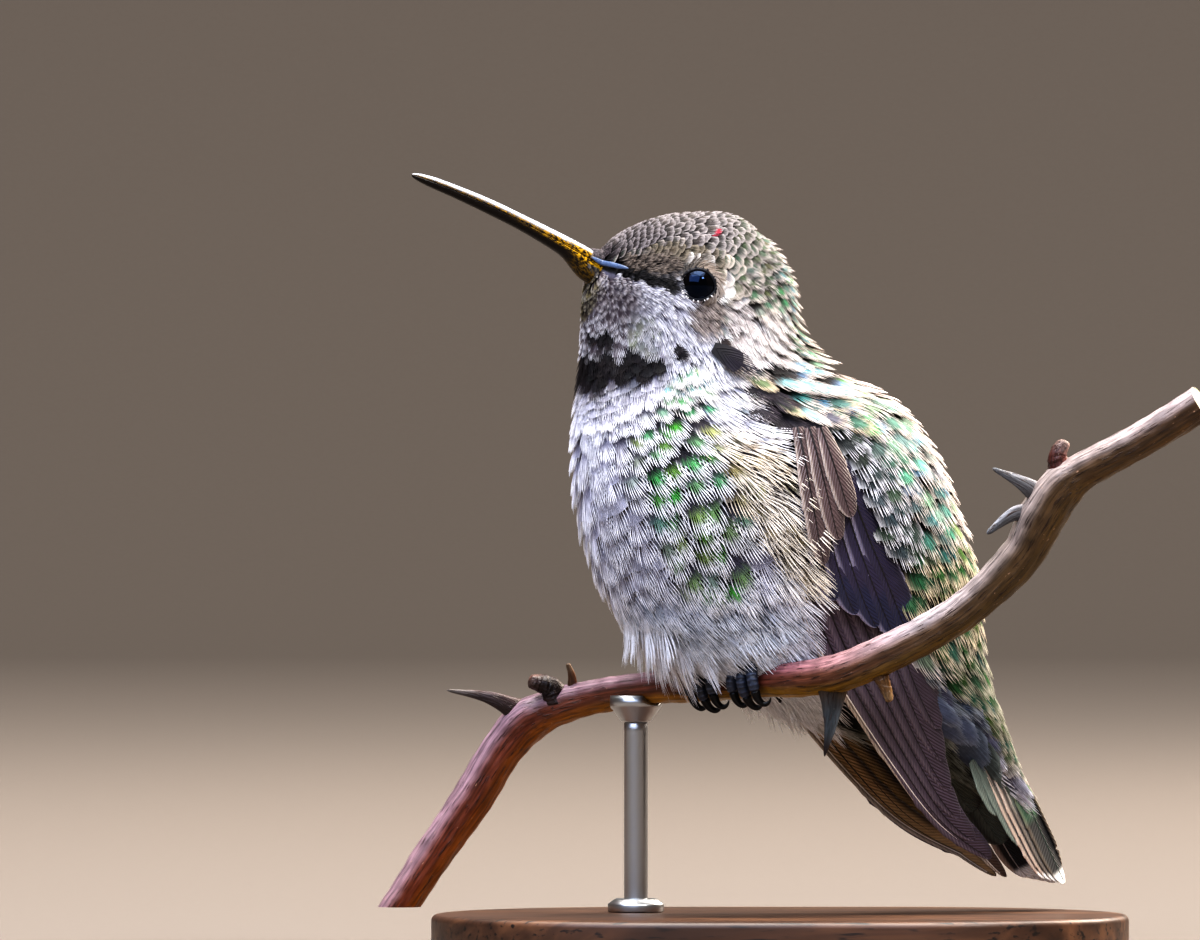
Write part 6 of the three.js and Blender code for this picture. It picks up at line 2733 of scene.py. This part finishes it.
    def claw(self, toe: Toe, line: Line) -> None:
        """Makes a claw: a hook that leaves the toe's end and curls back towards the twig.

        Args:
            toe: the toe.
            line: its middle line.
        """
        rows, sides = 40, 16
        tip, along = line.at(1.0), line.heading(1.0)
        inward = unit(self.grip.centre + self.grip.axis * toe.spread - tip)
        inward = unit(inward * 0.6 + self.grip.axis * self.claw_sweep * np.sign(self.grip.axis[0]))
        angle = np.radians(np.linspace(-8, self.claw_turn, 7))[:, None]
        hook = Line(tip + along * (0.06 + self.claw_bend * np.sin(angle))
                    + inward * 0.55 * self.claw_bend * (1 - np.cos(angle)))
        share = 1 - (1 - np.linspace(0, 1, rows)) ** 1.3
        centre, way = hook.at(share), hook.heading(share)
        across = np.broadcast_to(self.grip.axis, way.shape)
        across = unit(across - way * dot(across, way))
        radius = self.claw_radius * np.clip(1 - share, 0, 1) ** 0.75 + 0.015
        radius = radius * smooth(share, -0.1, 0.06)
        rings = loop_tube(centre, across, np.cross(way, across), radius * 0.8, radius, sides)
        tint = mix(linear("0b0b0e"), linear("2a2624"), (0.6 * smooth(share, 0.6, 1.0))[:, None, None])
        marks = Twig.marks(rings - centre[:, None], across, np.cross(way, across),
                           share[:, None] * hook.length)
        patch = paired(0.1 + 0.8 * share[:, None], 0.1 + 0.8 * round_turn(sides) / LAP)
        draft = Draft()
        draft.sheet(rings, tint, patch, gild=0.0, **marks)
        node = f"claw_{self.side.word}_{toe.name}"
        draft.piece(node + "_horn", Horn("claw_horn_polished"), "claw", [node])


# ---- Stand ---------------------------------------------------------------------------------------


@dataclass
class Stand:
    """The display stand: a walnut base, a steel rod, its collar, and the saddle that carries the twig.

    Args:
        twig: what it carries.
        length: the base's length.
        depth: the base's depth.
        height: the base's height.
        bevel: the radius of the base's edges.
        rod: x and y of the rod.
        rod_radius: the rod's radius.
        collar_radius: the collar's radius.
        collar_height: the collar's height.
        saddle_radius: the saddle's radius.
        saddle_height: the saddle's height before it is hollowed.
        snug: the gap left where two pieces meet.
        edge: how wide the turned pieces' edges are broken.
    """

    twig: Twig
    length: float = 64.0
    depth: float = 42.0
    height: float = 4.2
    bevel: float = 0.6
    rod: tuple[float, float] = (-13.2, 5.6)
    rod_radius: float = 1.1
    collar_radius: float = 2.6
    collar_height: float = 1.2
    saddle_radius: float = 2.4
    saddle_height: float = 2.4
    snug: float = 0.06
    edge: float = 0.08

    def build(self) -> None:
        """Makes the base and the three turned pieces."""
        self.base()
        bottom = self.height + self.snug
        top = float(self.twig.grip(self.rod[0]).centre[2]) - 3
        steel = BrushedSteel("stainless_steel_brushed")
        r, edge = self.rod_radius, self.edge
        self.turned("stand_rod", steel, ((0, bottom), (r - edge, bottom), (r, bottom + edge), (r, top - edge),
                                         (r - edge, top), (0, top)), 24)
        inner, outer = r + self.snug, self.collar_radius
        knee, high = bottom + self.collar_height * 0.6, bottom + self.collar_height
        self.turned("stand_collar", steel, (
            (inner, bottom), (outer - edge, bottom), (outer, bottom + edge), (outer, knee - 0.1),
            (outer - 0.05, knee + 0.02), (outer * 0.78, high - 0.1), (outer * 0.75 - 0.08, high),
            (inner + 0.05, high), (inner, high - 0.05), (inner, bottom)), 10)
        self.saddle(steel, top + self.snug)

    def base(self) -> None:
        """The base: a slab with round ends and softly rounded edges."""
        half, straight = self.depth / 2, (self.length - self.depth) / 2
        turn = round_turn(160)
        b, arc = self.bevel, np.linspace(0, math.pi / 2, 6)
        # how far inside the outline, and how high: the underside, the two rounded edges, the top
        profile = [(half * 0.999, 0.0), (half * 0.6, 0.0)]
        profile += [(b * (1 - math.sin(a)), b * (1 - math.cos(a))) for a in arc]
        profile += [(b * (1 - math.cos(a)), self.height - b * (1 - math.sin(a))) for a in arc]
        profile += [(half * share, self.height) for share in (0.3, 0.6, 0.9, 0.999)]
        inset, level = np.array(profile).T[..., None]
        x = (half - inset) * np.cos(turn) + straight * np.sign(np.round(np.cos(turn), 6))
        rings = np.stack(np.broadcast_arrays(x, (half - inset) * np.sin(turn), level), -1)
        flat = 0.5 + (rings[..., :2] * (1 - 0.02 * (rings[..., 2:] < 2))) / 90
        draft = Draft()
        draft.sheet(rings, linear("4a3122"), flat)
        draft.piece("stand_base_board", OiledWalnut("walnut_planed_oiled"), "stand_wood", ["stand_base"])

    def turned(self, node: str, finish: Finish, profile: tuple, fine: int) -> None:
        """Makes a piece turned about the rod's axis.

        Args:
            node: the CAD node that it replaces.
            finish: what its surface is.
            profile: radii and heights, from its foot up.
            fine: how many short rows each face higher than 2 mm is cut into.
        """
        points = np.array(profile, float)
        cuts = [np.linspace(a, b, fine, endpoint=False) if abs(b[1] - a[1]) > 2 else a[None]
                for a, b in zip(points, points[1:])]
        points = np.vstack([*cuts, points[-1:]])
        turn = round_turn(56)
        x, y = self.rod[0] + points[:, :1] * np.cos(turn), self.rod[1] + points[:, :1] * np.sin(turn)
        rings = np.stack(np.broadcast_arrays(x, y, points[:, 1:]), -1)
        draft = Draft()
        draft.sheet(rings, linear("b9bbbd"), paired(np.linspace(0.05, 0.95, len(points))[:, None], turn / 7))
        draft.piece(f"{node}_turned", finish, "stand_steel", [node])

    def saddle(self, finish: Finish, bottom: float) -> None:
        """The saddle: a cup whose top is hollowed to fit the twig.

        Args:
            finish: what its surface is.
            bottom: the height of its foot.
        """
        r, turn = self.saddle_radius, round_turn(72)
        grip = self.twig.grip(self.rod[0])
        profile = [(0.0, 0.0), (self.rod_radius * 1.3 - 0.06, 0.0), (self.rod_radius * 1.3, 0.06),
                   (r - 0.04, self.saddle_height * 0.6 - 0.05), (r, self.saddle_height * 0.6)]
        hollow = [r * share for share in (1, 0.97, 0.88, 0.76, 0.62, 0.48, 0.32, 0.16, 0)]
        radii = np.array([radius for radius, _ in profile] + hollow)[:, None]
        x, y = self.rod[0] + radii * np.cos(turn), self.rod[1] + radii * np.sin(turn)
        away = np.stack([x - grip.centre[0], y - grip.centre[1]], -1)
        plan = unit(grip.axis[:2])
        along, aside = away @ plan, away @ np.array([-plan[1], plan[0]])
        rise = grip.centre[2] + along * grip.axis[2] / np.linalg.norm(grip.axis[:2])
        clear = grip.radius + 0.1
        beside = 9 * (np.abs(aside) >= clear)
        under = rise - np.sqrt(np.clip(clear ** 2 - aside ** 2, 0, None)) + beside
        top = np.minimum(bottom + self.saddle_height, under)
        top[:len(profile)] = bottom + np.array([height for _, height in profile])[:, None]
        rings = np.stack([x, y, top], -1)
        draft = Draft()
        draft.sheet(rings, linear("b9bbbd"), 0.5 + (rings[..., :2] - self.rod) / 9)
        draft.piece("stand_saddle_turned", finish, "stand_steel", ["stand_saddle"])


# ---- Studio --------------------------------------------------------------------------------------


@dataclass(frozen=True)
class Lamp:
    """A soft box.

    Args:
        name: its name.
        place: where it hangs, in metres.
        size: its width and height in metres.
        power: its power in watts.
        colour: the colour of its light.
    """

    name: str
    place: tuple[float, float, float]
    size: tuple[float, float]
    power: float
    colour: str = "ffffff"


@dataclass
class Studio:
    """The floor, the camera and the lights.

    Args:
        target: what the lamps face, in metres.
        camera: where the camera stands, in metres.
        lens: its focal length in millimetres.
        sweep: where the floor starts to rise, and the radius of its rise, in metres.
        wall: how high the wall is, in metres.
        lamps: the lamps.
    """

    target: tuple[float, float, float] = (0.0, 0.0, 0.045)
    camera: tuple[float, float, float] = (-0.01651, -1.2, 0.04495)
    lens: float = 392.4
    sweep: tuple[float, float] = (1.95, 0.9)
    wall: float = 3.2
    lamps: tuple[Lamp, ...] = (
        Lamp("lamp_ceiling", (0.0, 0.0, 2.4), (3.0, 3.0), 140.0, "fffaf4"),
        Lamp("lamp_above", (0.10, -0.05, 0.95), (0.8, 0.6), 10.0, "fffaf2"),
        Lamp("lamp_sky", (-0.45, -0.95, 0.95), (1.5, 1.0), 19.0, "cfdefc"),
        Lamp("lamp_spark", (0.5, -0.6, 0.75), (0.2, 0.16), 3.5, "ffffff"),
        Lamp("lamp_behind", (0.55, 0.55, 0.55), (0.4, 0.4), 8.0, "fff1e2"),
    )

    def build(self) -> None:
        """Makes the whole studio."""
        self.look_out()
        self.floor()
        for lamp in self.lamps:
            self.light(lamp)
        world = bpy.data.worlds.new("studio_air")
        world.use_nodes = True
        air = world.node_tree.nodes["Background"]
        air.inputs["Color"].default_value = rgba("c9cdd3")
        air.inputs["Strength"].default_value = 0.35
        bpy.context.scene.world = world
        bpy.context.scene.view_settings.view_transform = "Standard"
        bpy.context.scene.view_settings.look = "High Contrast"

    def look_out(self) -> None:
        """Sets the camera level, square on to the stand."""
        camera = bpy.data.objects.new("camera", bpy.data.cameras.new("camera"))
        camera.data.sensor_width = 36
        camera.data.lens = self.lens
        camera.data.clip_start, camera.data.clip_end = 0.05, 20
        camera.location = self.camera
        camera.rotation_euler = (math.pi / 2, 0, 0)
        bpy.context.scene.collection.objects.link(camera)
        bpy.context.scene.camera = camera

    def floor(self) -> None:
        """A round floor that sweeps up into a wall on every side."""
        flat, rise = self.sweep
        arc = np.linspace(0, math.pi / 2, 24)
        radii = np.concatenate([[0.0, 0.2, 0.6, 1.2], flat + rise * np.sin(arc), [flat + rise]])
        heights = np.concatenate([np.zeros(4), rise * (1 - np.cos(arc)), [self.wall]])
        turn = round_turn(96)
        x, y = radii[:, None] * np.cos(turn), radii[:, None] * np.sin(turn)
        rings = np.stack(np.broadcast_arrays(x, y, heights[:, None]), -1)
        mesh = bpy.data.meshes.new("studio_floor")
        faces = grid_faces(len(radii), len(turn), True)
        mesh.from_pydata(rings.reshape(-1, 3).tolist(), [], faces.tolist())
        mesh.polygons.foreach_set("use_smooth", np.ones(len(faces), bool))
        mesh.materials.append(StudioPaper("background_paper_matt").material())
        made = bpy.data.objects.new("studio_floor", mesh)
        bpy.context.scene.collection.objects.link(made)

    def light(self, lamp: Lamp) -> None:
        """Hangs one soft box, facing the bird.

        Args:
            lamp: the soft box.
        """
        data = bpy.data.lights.new(lamp.name, "AREA")
        data.shape = "RECTANGLE"
        data.size, data.size_y = lamp.size
        data.energy = lamp.power
        data.color = tuple(linear(lamp.colour))
        made = bpy.data.objects.new(lamp.name, data)
        made.location = lamp.place
        way = Vector(self.target) - Vector(lamp.place)
        made.rotation_euler = way.to_track_quat("-Z", "Y").to_euler()
        bpy.context.scene.collection.objects.link(made)


# ---- Put together --------------------------------------------------------------------------------


def main() -> None:
    """Builds the bird, its perch, the stand and the studio."""
    logging.basicConfig(level=logging.INFO, format="%(name)s: %(message)s")
    form, wing, markings, twig = BirdForm(), WingForm(), Markings(), Twig()
    Studio().build()
    Coat(form, wing, markings).build()
    Bill(form).build()
    for side in Side:
        Eye(form, side).build()
        Foot(form, twig, side).build()
    Wings(form, wing).build()
    Tail(form).build()
    twig.build()
    for spur in spurs():
        spur.build()
    Stand(twig).build()
    LOG.info("all pieces made")


if __name__ == "__main__":
    main()
